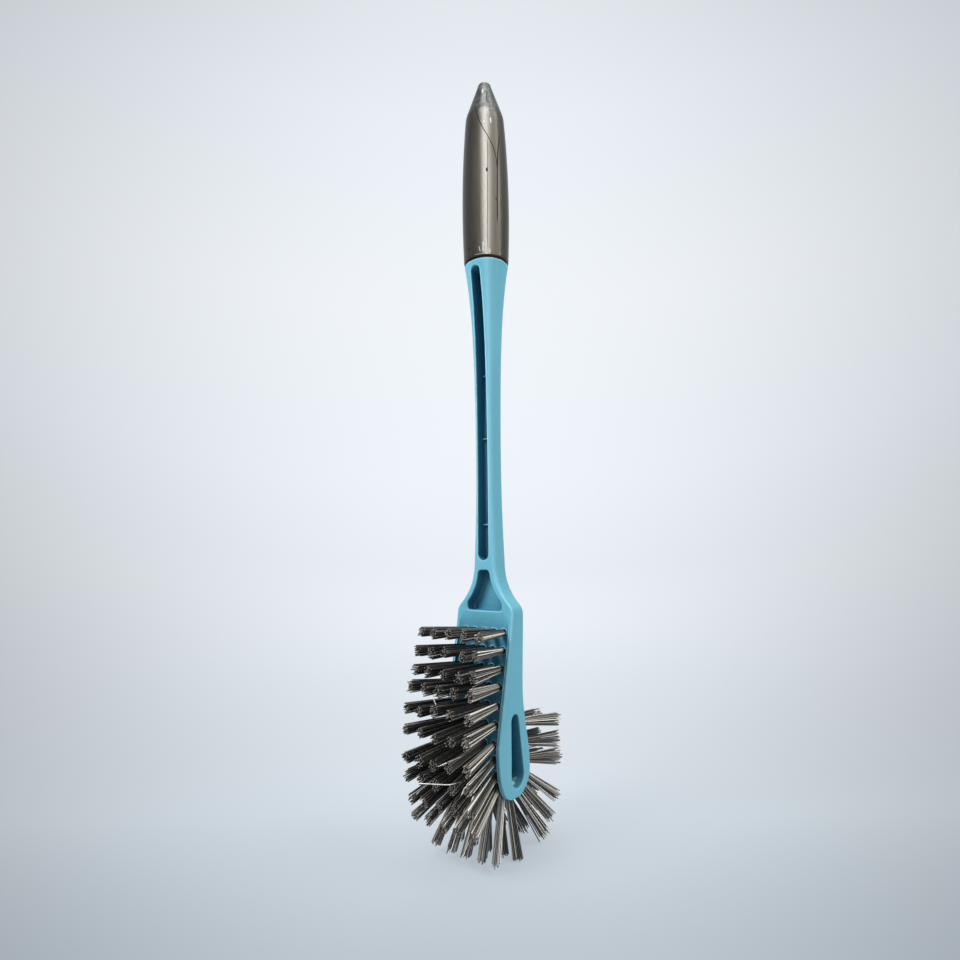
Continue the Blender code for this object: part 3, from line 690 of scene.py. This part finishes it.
def slot_body():
    rings = []
    layers = [(-HALF_HEAD_WIDTH - SLOT_OVERRUN, LIP)]
    for turn in spread(0, QUARTER_TURN, LIP_STEPS):
        layers.append((-HALF_HEAD_WIDTH + LIP * (1 - math.cos(turn)), LIP * (1 - math.sin(turn))))
    layers += [(-across, outset) for across, outset in reversed(layers)]
    low_radius, low_reach, low_height = SLOT_LOW
    high_radius, high_reach, high_height = SLOT_HIGH
    low = Vector((low_reach, low_height))
    high = Vector((high_reach, high_height))
    lean = math.atan2(high.y - low.y, high.x - low.x)
    open_angle = math.acos((low_radius - high_radius) / (high - low).length)
    top_turns = spread(lean - open_angle, lean + open_angle, SLOT_TOP_STEPS)
    foot_turns = spread(lean + open_angle, lean - open_angle + math.tau, SLOT_FOOT_STEPS)
    for across, outset in layers:
        ring = []
        for centre, radius, turns in ((high, high_radius, top_turns), (low, low_radius, foot_turns)):
            for turn in turns:
                point = centre + Vector((math.cos(turn), math.sin(turn))) * (radius + outset)
                ring.append(in_space(across, *point))
        rings.append(ring)
    return loft('slot_cut', rings)


def field_stations():
    """Places down the field and the way out of each, with a straight run above the field's own top."""
    stations = []
    top = HEAD_LENGTH - FIELD_TOP_DROP
    for height in spread(HEAD_LENGTH - DISH_TOP_DROP, top, DISH_STEPS)[:-1]:
        share = (height - top) / (HEAD_LENGTH - top)
        stations.append((Vector((SHOULDER_FRONT + DISH_LIFT * share ** 2, height)), Vector((1, 0))))
    stations += [field_point(distance) for distance in spread(0, FIELD_LENGTH, FIELD_STATIONS)]
    return stations


def field_body():
    """Cutter for the field between the cheeks: a wide shallow dish on top, small fillets below."""
    rings = []
    for place, outward in field_stations():
        drop = max(HEAD_LENGTH - place.y, 0) if outward.x > 0 and place.x > 0 else HEAD_LENGTH
        share = min(max((drop - DISH_END_DROP) / DISH_FADE, 0), 1)
        share = share * share * (3 - 2 * share)
        slope = blend(DISH_SLOPE, FIELD_FILLET, share)
        rise = blend(DISH_RISE, FIELD_FILLET, share)
        floor = []
        for turn in spread(QUARTER_TURN, 0, FIELD_EDGE_STEPS):
            floor.append((-HALF_FIELD_WIDTH + slope * (1 - math.sin(turn)), rise * (1 - math.cos(turn))))
        floor += [(-across, lift) for across, lift in reversed(floor)]
        ring = [in_space(across, *(place + outward * lift)) for across, lift in floor]
        ring.append(in_space(HALF_FIELD_WIDTH, *(place + outward * FIELD_OVERRUN)))
        ring.append(in_space(-HALF_FIELD_WIDTH, *(place + outward * FIELD_OVERRUN)))
        rings.append(ring)
    return loft('field_cut', rings)


def tuft_frames():
    """For every row: a list of tufts, each its root on the field, its axis and the ways across it."""
    rows = []
    for row, distance in enumerate(row_distances()):
        place, outward = field_point(distance)
        heading = Matrix.Rotation(-math.radians(ROW_LEANS[row]), 2) @ outward
        count = FRONT_TUFTS if row < FIRST_BACK_ROW else BACK_TUFTS
        tufts = []
        for across in spread(-OUTER_TUFT_OFFSET, OUTER_TUFT_OFFSET, count):
            lean = OUTER_TUFT_LEAN * across / OUTER_TUFT_OFFSET
            axis = in_space(0, *heading) * math.cos(lean) + Vector((math.sin(lean), 0, 0))
            side = (Vector((1, 0, 0)) - axis * axis.x).normalized()
            tufts.append((in_space(across, *place), axis, side, axis.cross(side)))
        rows.append(tufts)
    return rows


ROWS = tuft_frames()


def hole_bodies():
    bm = bmesh.new()
    for tufts in ROWS:
        for root, axis, side, over in tufts:
            ways = around(side, over, HOLE_SIDES)
            centres = [root + axis * along for along in (-HOLE_DEPTH, HOLE_OVERRUN)]
            add_body(bm, [[centre + way * HOLE_RADIUS for way in ways] for centre in centres])
    return new_object('hole_cuts', bm)


def rib_bodies(foot, top):
    bm = bmesh.new()
    for share in RIB_PLACE_SHARES:
        middle = blend(foot, top, share)
        floor = channel_floor(middle)
        root = floor - RIB_ROOT
        half = CHANNEL_FOOT_RADIUS + RIB_OVERLAP
        rings = []
        for along, rise in (
            (-0.75, -RIB_SINK),
            (-0.50, RIB_HEIGHT - RIB_EASE),
            (-0.25, RIB_HEIGHT),
            (0.25, RIB_HEIGHT),
            (0.50, RIB_HEIGHT - RIB_EASE),
            (0.75, -RIB_SINK),
        ):
            corners = ((-half, floor + rise), (half, floor + rise), (half, root), (-half, root))
            rings.append([in_space(*corner, middle + RIB_THICKNESS * along) for corner in corners])
        add_body(bm, rings)
    return new_object('rib_bodies', bm)


def make_handle(material):
    edge_start = SEAT_HEIGHT - SEAT_EDGE
    heights = [LOWEST_RING]
    heights += [FOOT_HEIGHT * (1 - math.cos(turn)) for turn in spread(0, QUARTER_TURN, FOOT_STEPS)[1:]]
    heights += spread(FOOT_HEIGHT, HEAD_LENGTH, HEAD_STEPS)[1:]
    heights += spread(HEAD_LENGTH, NECK_TOP, NECK_STEPS)[1:]
    heights += spread(NECK_TOP, edge_start, STEM_STEPS)[1:]
    rings = [rounded_ring(height, *section(height)) for height in heights]
    half_width, front, back, radius = section(SEAT_HEIGHT)
    for turn in spread(0, QUARTER_TURN, SEAT_EDGE_STEPS)[1:]:
        inset = SEAT_EDGE * (1 - math.cos(turn))
        height = edge_start + SEAT_EDGE * math.sin(turn)
        rings.append(rounded_ring(height, half_width - inset, front - inset, back - inset, radius))
    tang_depth = TANG_RADIUS - TANG_FLAT
    for height in (SEAT_HEIGHT, SEAT_HEIGHT + TANG_STUB):
        rings.append(rounded_ring(height, TANG_RADIUS, tang_depth, tang_depth, TANG_RADIUS))
    handle = loft('moulded_handle', rings)
    foot = HEAD_LENGTH - POCKET_FOOT_DROP + POCKET_HEIGHT + CHANNEL_BRIDGE
    top = SEAT_HEIGHT - CHANNEL_TOP_MARGIN
    cut(handle, [field_body(), channel_body(foot, top), pocket_body(), slot_body()])
    cut(handle, [rib_bodies(foot, top)], 'UNION')
    cut(handle, [hole_bodies()])
    return finish(handle, material, SHARP_EDGE)


# Grip
def barrel_radius(height):
    barrel_length = GRIP_LENGTH - GRIP_CONE_LENGTH
    rim_fall = GRIP_BARREL_RADIUS - GRIP_RIM_RADIUS
    corner_fall = GRIP_BARREL_RADIUS - GRIP_CORNER_RADIUS
    widest = barrel_length * math.sqrt(rim_fall) / (math.sqrt(rim_fall) + math.sqrt(corner_fall))
    return GRIP_BARREL_RADIUS - rim_fall * ((height - widest) / widest) ** 2


def grip_profile():
    """Outer profile of the grip as (height over the seat, radius)."""
    cone_foot = GRIP_LENGTH - GRIP_CONE_LENGTH
    profile = []
    for turn in spread(0, QUARTER_TURN, RIM_STEPS):
        rise = GRIP_RIM_ROUNDING * (1 - math.cos(turn))
        profile.append((GRIP_GAP + rise, barrel_radius(rise) - GRIP_RIM_ROUNDING * (1 - math.sin(turn))))
    barrel = spread(GRIP_GAP + GRIP_RIM_ROUNDING, cone_foot - GRIP_CORNER_ROUNDING, BARREL_STEPS)
    for height in barrel[1:]:
        profile.append((height, barrel_radius(height)))
    start = Vector(profile[-1])
    corner = Vector((cone_foot, GRIP_CORNER_RADIUS))
    tip = Vector((GRIP_LENGTH - GRIP_TIP_ROUNDING, GRIP_TIP_RADIUS))
    way = (tip - corner).normalized()
    soft_end = corner + way * GRIP_CORNER_ROUNDING
    bend = interpolate_bezier(start, corner, corner, soft_end, GRIP_CORNER_STEPS)
    profile += [tuple(point) for point in bend[1:]]
    heights = spread(soft_end.x, tip.x, CONE_STEPS)
    profile += list(zip(heights, spread(soft_end.y, tip.y, CONE_STEPS)))[1:]
    for turn in spread(0, QUARTER_TURN, TIP_STEPS)[1:]:
        rise = GRIP_TIP_ROUNDING * math.sin(turn)
        inset = GRIP_TIP_ROUNDING * (1 - math.cos(turn))
        profile.append((GRIP_LENGTH - GRIP_TIP_ROUNDING + rise, GRIP_TIP_RADIUS - inset))
    return profile


GRIP_PROFILE = grip_profile()


def grip_radius(height):
    return float(np.interp(height, *zip(*GRIP_PROFILE)))


def ring_at(height, radius, sides):
    turns = [math.tau * side / sides for side in range(sides)]
    return [Vector((radius * math.cos(turn), radius * math.sin(turn), height)) for turn in turns]


def circle(height, radius):
    return ring_at(SEAT_HEIGHT + height, radius, CIRCLE_SIDES)


def make_grip(material):
    rings = [circle(height, TANG_RADIUS + BORE_CLEARANCE) for height in (BORE_DEPTH, GRIP_GAP)]
    rings += [circle(height, radius) for height, radius in GRIP_PROFILE]
    return finish(loft('grip_sleeve', rings), material, SHARP_GRIP_EDGE)


def on_grip(turn, share):
    """Place on the grip's skin: degrees round from the front towards +X, and a share of its height."""
    height = share * GRIP_LENGTH
    radius = grip_radius(height)
    turn = math.radians(turn)
    return Vector((radius * math.sin(turn), -radius * math.cos(turn), SEAT_HEIGHT + height))


def eased_line(places, lengths, count, easings):
    """Even places along a line with its corners eased. Lengths are walked from its start to each place."""
    line = []
    for walked in spread(0, lengths[-1], count):
        line.append(np.array([np.interp(walked, lengths, values) for values in zip(*places)]))
    for _ in range(easings):
        inner = [(before + 2 * here + after) / 4 for before, here, after in zip(line, line[1:], line[2:])]
        line = [line[0], *inner, line[-1]]
    return line


def tubes(name, paths, material):
    """One object of thin tubes along lists of points, tapered at both ends. Each brings its radius."""
    bm = bmesh.new()
    for path, radius in paths:
        last = len(path) - 1
        side = (path[1] - path[0]).orthogonal()
        rings = []
        for index, point in enumerate(path):
            along = (path[min(index + 1, last)] - path[max(index - 1, 0)]).normalized()
            side = (side - along * side.dot(along)).normalized()
            taper = min(index, last - index) / TUBE_TAPER_STEPS
            size = radius * max(min(1, taper), TUBE_END_SHARE)
            rings.append([point + way * size for way in around(side, along.cross(side), TUBE_SIDES)])
        add_body(bm, rings)
    return finish(new_object(name, bm), material)


def make_grip_marks(name, lines, count, material):
    """Thin lines on the grip's skin: the flow lines and nicks of the moulded sleeve, or its scuffs and
    painted highlights.
    """
    paths = []
    for marks, radius in lines:
        lengths = [0]
        for (turn, share), (next_turn, next_share) in zip(marks, marks[1:]):
            step = math.hypot((next_turn - turn) / DEGREES_IN_A_LENGTH, next_share - share)
            lengths.append(lengths[-1] + step)
        line = eased_line(marks, lengths, count, count // POINTS_PER_EASING)
        paths.append(([on_grip(turn, share) for turn, share in line], radius))
    return tubes(name, paths, material)


def make_strays(material):
    paths = []
    for places in STRAYS:
        points = [in_space(*place) for place in places]
        lengths = [0]
        for before, after in zip(points, points[1:]):
            lengths.append(lengths[-1] + (after - before).length)
        line = eased_line(points, lengths, STRAY_POINTS, STRAY_EASINGS)
        paths.append(([Vector(place) for place in line], STRAY_RADIUS))
    return tubes('stray_filaments', paths, material)


def make_painted_seam_shade(material):
    """Dark ring in the joint between the stem's seat and the sleeve's rim: painted shade for the shadowed
    gap.
    """
    rings = [circle(height, SEAM_RADIUS) for height in (-SEAM_SINK, GRIP_GAP + SEAM_OVERLAP)]
    return finish(loft('grip_seam_painted_shade', rings), material, SHARP_GRIP_EDGE)


# Filaments
def row_name(row):
    if row < FRONT_ROWS:
        return f'front_bristles_{row + 1}'
    if row < FIRST_BACK_ROW:
        return f'foot_bristles_{row - FRONT_ROWS + 1}'
    return f'back_bristles_{row - FIRST_BACK_ROW + 1}'


def filament_path(root, tip, bow):
    """Bowed line from root to tip, with a last short piece for the cut end."""
    return [root.lerp(tip, share) + bow * (share * share * (1.5 - share)) for share in FILAMENT_SHARES]


def add_filament(bm, layers, path, radius, tone_and_painted_light):
    tone_and_painted_light_layer, cut_end_layer = layers
    way = (path[-1] - path[0]).normalized()
    first = way.orthogonal().normalized()
    ways = around(first, way.cross(first), FILAMENT_SIDES)
    loops = add_body(bm, [[point + way * radius for way in ways] for point in path])
    for loop in loops:
        for vertex in loop:
            vertex[tone_and_painted_light_layer] = tone_and_painted_light
            vertex[cut_end_layer] = loop is loops[-1]


def make_row(row, tufts, material, chance):
    bm = bmesh.new()
    layers = (bm.verts.layers.float.new('tone_and_painted_light'), bm.verts.layers.float.new('cut_end'))
    floor = -STAND.z
    length = BRISTLE_LENGTH * ROW_LENGTH_SHARES[row]
    for column, (root, axis, side, over) in enumerate(tufts):
        # Painted light: the tufts towards +X and the foot tufts get a paler tone
        painted_light_share = (column / (len(tufts) - 1)) ** PAINTED_LIGHT_POWER
        if FRONT_ROWS <= row < FIRST_BACK_ROW:
            painted_light_share = max(painted_light_share, FOOT_PAINTED_LIGHT)
        splay = [most * chance.uniform(*shares) for most, shares in zip(TUFT_TIP_SPREAD, TIP_SPREAD_SHARES)]
        if row >= FIRST_BACK_ROW:
            splay = [BACK_SPREAD_SHARE * most for most in splay]
        sway = side * chance.gauss(0, TUFT_SWAY) + over * chance.gauss(0, TUFT_SWAY)
        spin = chance.uniform(0, math.tau)
        for index in range(FILAMENTS):
            share = math.sqrt((index + 0.5) / FILAMENTS)
            turn = index * GOLDEN_TURN + spin
            across = share * math.cos(turn)
            up = share * math.sin(turn)
            wild = 1 if chance.random() > WILD_SHARE else WILD_FACTOR
            foot = root + (side * across + over * up) * TUFT_ROOT_RADIUS - axis * HOLE_DEPTH * TUFT_SINK_SHARE
            end = root + axis * (length + chance.gauss(0, LENGTH_NOISE)) + sway
            end += side * (across * splay[0] + chance.gauss(0, TIP_NOISE) * wild)
            end += over * (up * splay[1] + chance.gauss(0, TIP_NOISE) * wild)
            if end.z < floor:
                end.z = floor + chance.uniform(0, FLOOR_NOISE)
            bow = (side * chance.gauss(0, 1) + over * chance.gauss(0, 1)) * BOW * wild
            radius = FILAMENT_RADIUS * chance.uniform(*FILAMENT_RADIUS_SHARES)
            tone_and_painted_light = chance.random() * blend(*TONE_REACH_WITH_PAINTED_LIGHT, painted_light_share) + PAINTED_LIGHT_TONE * painted_light_share
            add_filament(bm, layers, filament_path(foot, end, bow), radius, tone_and_painted_light)
    return finish(new_object(row_name(row) + '_filaments', bm), material, SHARP_FILAMENT_EDGE)


# Materials
def tree_of(name):
    material = bpy.data.materials.new(name)
    material.use_nodes = True
    tree = material.node_tree
    return material, tree, tree.nodes['Principled BSDF']


def node(tree, kind, inputs=None, **settings):
    made = tree.nodes.new(kind)
    for key, value in settings.items():
        setattr(made, key, value)
    for key, value in (inputs or {}).items():
        if hasattr(value, 'is_output'):
            tree.links.new(value, made.inputs[key])
        else:
            made.inputs[key].default_value = value
    return made


def ramp(tree, value, stops):
    made = node(tree, 'ShaderNodeValToRGB', {'Fac': value})
    elements = made.color_ramp.elements
    while len(elements) < len(stops):
        elements.new(0.5)
    for element, (place, colour) in zip(elements, stops):
        element.position = place
        element.color = (*colour, 1)
    return made.outputs['Color']


def noise(tree, vector, scale, detail=3.0, roughness=0.5):
    inputs = {'Vector': vector, 'Scale': scale, 'Detail': detail, 'Roughness': roughness}
    return node(tree, 'ShaderNodeTexNoise', inputs).outputs['Fac']


def openness(tree, distance, samples=4, **settings):
    """How open a place lies, from 0 deep in a recess to 1 in the open."""
    inputs = {'Distance': distance}
    return node(tree, 'ShaderNodeAmbientOcclusion', inputs, samples=samples, **settings).outputs['AO']


def mixed(tree, share, first, second, blend_type='MIX'):
    settings = {'data_type': 'RGBA', 'blend_type': blend_type}
    return node(tree, 'ShaderNodeMix', {0: share, 6: first, 7: second}, **settings).outputs[2]


def calculated(tree, operation, *values, **settings):
    return node(tree, 'ShaderNodeMath', dict(enumerate(values)), operation=operation, **settings).outputs[0]


def vector_calculated(tree, operation, inputs):
    return node(tree, 'ShaderNodeVectorMath', inputs, operation=operation).outputs


def object_place(tree):
    return node(tree, 'ShaderNodeTexCoord').outputs['Object']


def wire(tree, shader, **outputs):
    for key, output in outputs.items():
        tree.links.new(output, shader.inputs[key.replace('_', ' ')])


def uneven(tree, height, strength, distance):
    inputs = {'Height': height, 'Strength': strength, 'Distance': distance}
    return node(tree, 'ShaderNodeBump', inputs).outputs['Normal']


def plastic_blue():
    """Teal, with painted shade in its hollows and painted highlights along its thin edges."""
    material, tree, shader = tree_of('teal_plastic')
    place = object_place(tree)
    colour = ramp(tree, noise(tree, place, scale=40.0), BLUE_STOPS)
    # Painted shade: darker deep in the hollows
    painted_hollow_shade = ramp(tree, openness(tree, distance=0.022), PAINTED_HOLLOW_SHADE_STOPS)
    colour = mixed(tree, 1.0, colour, painted_hollow_shade, 'MULTIPLY')
    # Painted highlight: paler along thin edges and lips
    painted_edge_highlight_mask = openness(tree, distance=0.0008, samples=3, inside=True, only_local=True)
    colour = mixed(tree, ramp(tree, painted_edge_highlight_mask, PAINTED_EDGE_HIGHLIGHT_STOPS), colour, PAINTED_EDGE_HIGHLIGHT_COLOUR)
    rough = ramp(tree, noise(tree, place, scale=260.0, detail=4.0), BLUE_ROUGHNESS)
    grain = noise(tree, place, scale=900.0, detail=2.0)
    normal = uneven(tree, grain, strength=0.05, distance=0.0002)
    wire(tree, shader, Base_Color=colour, Roughness=rough, Normal=normal)
    shader.inputs['IOR'].default_value = 1.5
    shader.inputs['Specular IOR Level'].default_value = 0.14
    return material


def plastic_silver():
    """Metallised grey with fine upright streaks, and on the cone a paler spotted tone, painted light for how
    bright the cone shows.
    """
    material, tree, shader = tree_of('silver_plastic')
    place = object_place(tree)
    stretched = {'Vector': place, 'Scale': (260.0, 260.0, 9.0)}
    stretched = node(tree, 'ShaderNodeMapping', stretched).outputs['Vector']
    streaks = noise(tree, stretched, scale=1.0, detail=4.0, roughness=0.6)
    height = node(tree, 'ShaderNodeSeparateXYZ', {0: place}).outputs['Z']
    limits = {0: height, 1: CONE_LEVEL - CONE_FADE, 2: CONE_LEVEL + CONE_FADE}
    on_cone_painted_light = node(tree, 'ShaderNodeMapRange', limits).outputs[0]
    # Painted light: the cone gets its own paler, spotted tone
    cone_spots_and_painted_light = ramp(tree, noise(tree, place, scale=420.0, roughness=0.7), CONE_SPOTS_AND_PAINTED_LIGHT)
    colour = mixed(tree, on_cone_painted_light, ramp(tree, streaks, SILVER_STOPS), cone_spots_and_painted_light)
    rough = ramp(tree, streaks, SILVER_ROUGHNESS)
    dents = noise(tree, place, scale=700.0, roughness=0.6)
    normal = uneven(tree, dents, strength=0.16, distance=0.0003)
    wire(tree, shader, Base_Color=colour, Roughness=rough, Normal=normal)
    shader.inputs['Metallic'].default_value = 0.85
    return material


def filament_plastic():
    """Grey taupe by the tone of each filament, which carries painted light, and painted shade deep in the
    tufts.
    """
    material, tree, shader = tree_of('filaments')
    tone_and_painted_light = node(tree, 'ShaderNodeAttribute', attribute_name='tone_and_painted_light').outputs['Fac']
    cut_end = node(tree, 'ShaderNodeAttribute', attribute_name='cut_end').outputs['Fac']
    colour = mixed(tree, cut_end, ramp(tree, tone_and_painted_light, FILAMENT_STOPS), CUT_END_COLOUR)
    # Painted shade: darker deep in the tufts
    painted_gap_shade = ramp(tree, openness(tree, distance=0.006), PAINTED_GAP_SHADE_STOPS)
    colour = mixed(tree, 1.0, colour, painted_gap_shade, 'MULTIPLY')
    rough = ramp(tree, noise(tree, object_place(tree), scale=500.0, detail=2.0), FILAMENT_ROUGHNESS)
    wire(tree, shader, Base_Color=colour, Roughness=rough)
    shader.inputs['Specular IOR Level'].default_value = 0.5
    return material


def speckled(name, stops, scale, roughness, specular=0.5):
    """Simple plastic in two tones, for thin marks, painted highlights, the seam's painted shade and strays.
    """
    material, tree, shader = tree_of(name)
    wire(tree, shader, Base_Color=ramp(tree, noise(tree, object_place(tree), scale), stops))
    shader.inputs['Roughness'].default_value = roughness
    shader.inputs['Specular IOR Level'].default_value = specular
    return material


# Stage
def backdrop_material():
    """Pale blue-grey. It glows by itself where it is seen or reflected, and it still takes a shadow."""
    material, tree, shader = tree_of('backdrop')
    turned = {'Vector': object_place(tree), 'Rotation': (0, 0, -CAMERA_AZIMUTH)}
    turned = node(tree, 'ShaderNodeMapping', turned).outputs['Vector']
    flat = vector_calculated(tree, 'MULTIPLY', {0: turned, 1: (0, 1, 1)})['Vector']
    reach = vector_calculated(tree, 'DISTANCE', {0: flat, 1: GLOW_CENTRE})['Value']
    far = calculated(tree, 'MULTIPLY', reach, GLOW_SCALE)
    parts = node(tree, 'ShaderNodeSeparateXYZ', {0: turned}).outputs
    depth = calculated(tree, 'ADD', parts['Y'], DEPTH_OFFSET)
    behind = calculated(tree, 'MULTIPLY', depth, BEHIND_SLOPE, use_clamp=True)
    depth = calculated(tree, 'MAXIMUM', depth, LEAST_DEPTH)
    depth = calculated(tree, 'MULTIPLY', depth, depth)
    side = calculated(tree, 'MULTIPLY', parts['X'], parts['X'])
    side = calculated(tree, 'DIVIDE', side, calculated(tree, 'ADD', side, depth))
    side = calculated(tree, 'MAXIMUM', side, behind)
    rate = calculated(tree, 'MULTIPLY_ADD', far, *SIDE_FALL)
    fall = calculated(tree, 'MAXIMUM', calculated(tree, 'MULTIPLY_ADD', side, rate, 1.0), LEAST_FALL)
    # Painted pool of light: brightest round a centre behind the brush, darker to the sides
    colour = ramp(tree, far, BACKDROP_STOPS)
    colour = vector_calculated(tree, 'SCALE', {0: colour, 'Scale': fall})['Vector']
    # Painted contact shadow under the brush
    painted_contact_shadow = ramp(tree, openness(tree, distance=0.030), PAINTED_CONTACT_SHADOW_STOPS)
    colour = mixed(tree, 1.0, colour, painted_contact_shadow, 'MULTIPLY')
    wire(tree, shader, Base_Color=colour)
    shader.inputs['Roughness'].default_value = 0.9
    shader.inputs['Specular IOR Level'].default_value = 0.1
    rays = node(tree, 'ShaderNodeLightPath').outputs
    seen = calculated(tree, 'MAXIMUM', rays['Is Camera Ray'], rays['Is Glossy Ray'])
    seen = calculated(tree, 'MAXIMUM', seen, rays['Is Transmission Ray'])
    share = calculated(tree, 'MULTIPLY_ADD', seen, SEEN_SHARE, GLOW_SHARE)
    glow = node(tree, 'ShaderNodeEmission', {'Color': colour, 'Strength': GLOW_STRENGTH}).outputs['Emission']
    mix = node(tree, 'ShaderNodeMixShader', {0: share, 1: shader.outputs['BSDF'], 2: glow}).outputs[0]
    output = next(item for item in tree.nodes if item.type == 'OUTPUT_MATERIAL')
    tree.links.new(mix, output.inputs['Surface'])
    return material


def make_backdrop():
    profile = [(radius, 0) for radius in FLOOR_RADII]
    wall_foot = FLOOR_RADII[-1]
    for turn in spread(0, QUARTER_TURN, BEND_STEPS)[1:]:
        profile.append((wall_foot + BACKDROP_BEND * math.sin(turn), BACKDROP_BEND * (1 - math.cos(turn))))
    wall_reach = wall_foot + BACKDROP_BEND
    for turn in spread(0, CEILING_ANGLE, CEILING_STEPS):
        profile.append((wall_reach * math.cos(turn), CEILING_START + BACKDROP_BEND * math.sin(turn)))
    bm = bmesh.new()
    loops = add_rings(bm, [ring_at(height, radius, BACKDROP_SIDES) for radius, height in profile])
    bm.faces.new(loops[0])
    item = new_object('backdrop', bm)
    item.data.materials.append(backdrop_material())
    item.data.shade_smooth()


def way_from(azimuth, elevation):
    """Way out to a place seen at an azimuth, turning from the front towards +X, and an elevation."""
    flat = math.cos(elevation)
    return Vector((math.sin(azimuth) * flat, -math.cos(azimuth) * flat, math.sin(elevation)))


def new_in_scene(name, data, place, look):
    """Lamp or camera at a place that looks along a way."""
    item = bpy.data.objects.new(name, data)
    bpy.context.scene.collection.objects.link(item)
    item.location = place
    item.rotation_mode = 'QUATERNION'
    item.rotation_quaternion = look.to_track_quat('-Z', 'Y')
    return item


def make_lamp(name, azimuth, elevation, size, power, colour, gives):
    light = bpy.data.lights.new(name, 'AREA')
    light.shape = 'RECTANGLE'
    light.size, light.size_y = size
    light.energy = power
    light.color = colour
    outward = way_from(math.radians(azimuth), math.radians(elevation))
    lamp = new_in_scene(name, light, LAMP_TARGET + outward * LAMP_DISTANCE, -outward)
    lamp.visible_glossy = gives == 'sheen'
    lamp.visible_diffuse = gives == 'light'


def make_camera():
    data = bpy.data.cameras.new('camera')
    data.sensor_width = SENSOR_WIDTH
    data.lens = FOCAL_LENGTH
    data.clip_start = CLIP_START
    data.clip_end = CLIP_END
    camera = new_in_scene('camera', data, CAMERA_PLACE + STAND, -way_from(CAMERA_AZIMUTH, -CAMERA_PITCH))
    roll = Matrix.Rotation(CAMERA_ROLL, 3, 'Z').to_quaternion()
    camera.rotation_quaternion = camera.rotation_quaternion @ roll
    bpy.context.scene.camera = camera


def make_world():
    world = bpy.data.worlds.new('world')
    bpy.context.scene.world = world
    world.use_nodes = True
    background = world.node_tree.nodes['Background']
    background.inputs['Color'].default_value = WORLD_COLOUR
    background.inputs['Strength'].default_value = WORLD_STRENGTH


def main():
    bpy.context.scene.view_settings.view_transform = 'Standard'
    make_camera()
    make_backdrop()
    make_world()
    for lamp in LAMPS:
        make_lamp(*lamp)

    handle = make_handle(plastic_blue())
    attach(handle, 'root')
    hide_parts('handle')
    grip = make_grip(plastic_silver())
    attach(grip, 'root')
    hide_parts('grip')
    # Dark flow lines, and painted shade in the seam
    dark_lines_and_seam_shade = speckled('dark_lines_and_painted_seam_shade', DARK_LINE_AND_SEAM_SHADE_STOPS, scale=300.0, roughness=0.8, specular=0.1)
    # Scuffs and painted highlights
    pale_scuff_and_highlight = speckled('pale_scuff_and_painted_highlight', SCUFF_AND_HIGHLIGHT_STOPS, scale=900.0, roughness=0.45)
    scuffs_and_highlights = make_grip_marks('grip_scuffs_and_painted_highlights', GRIP_SCUFFS_AND_HIGHLIGHTS, GRIP_SCUFF_AND_HIGHLIGHT_POINTS, pale_scuff_and_highlight)
    weld_lines = make_grip_marks('grip_weld_lines', GRIP_LINES, GRIP_LINE_POINTS, dark_lines_and_seam_shade)
    for item in (weld_lines, make_painted_seam_shade(dark_lines_and_seam_shade), scuffs_and_highlights):
        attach(item, 'root')
    filaments = filament_plastic()
    strays = make_strays(speckled('pale_filament', STRAY_STOPS, scale=300.0, roughness=0.4))
    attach(strays, 'root')
    chance = random.Random(SEED)
    for row, tufts in enumerate(ROWS):
        item = make_row(row, tufts, filaments, chance)
        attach(item, 'root')
        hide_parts(row_name(row))


main()
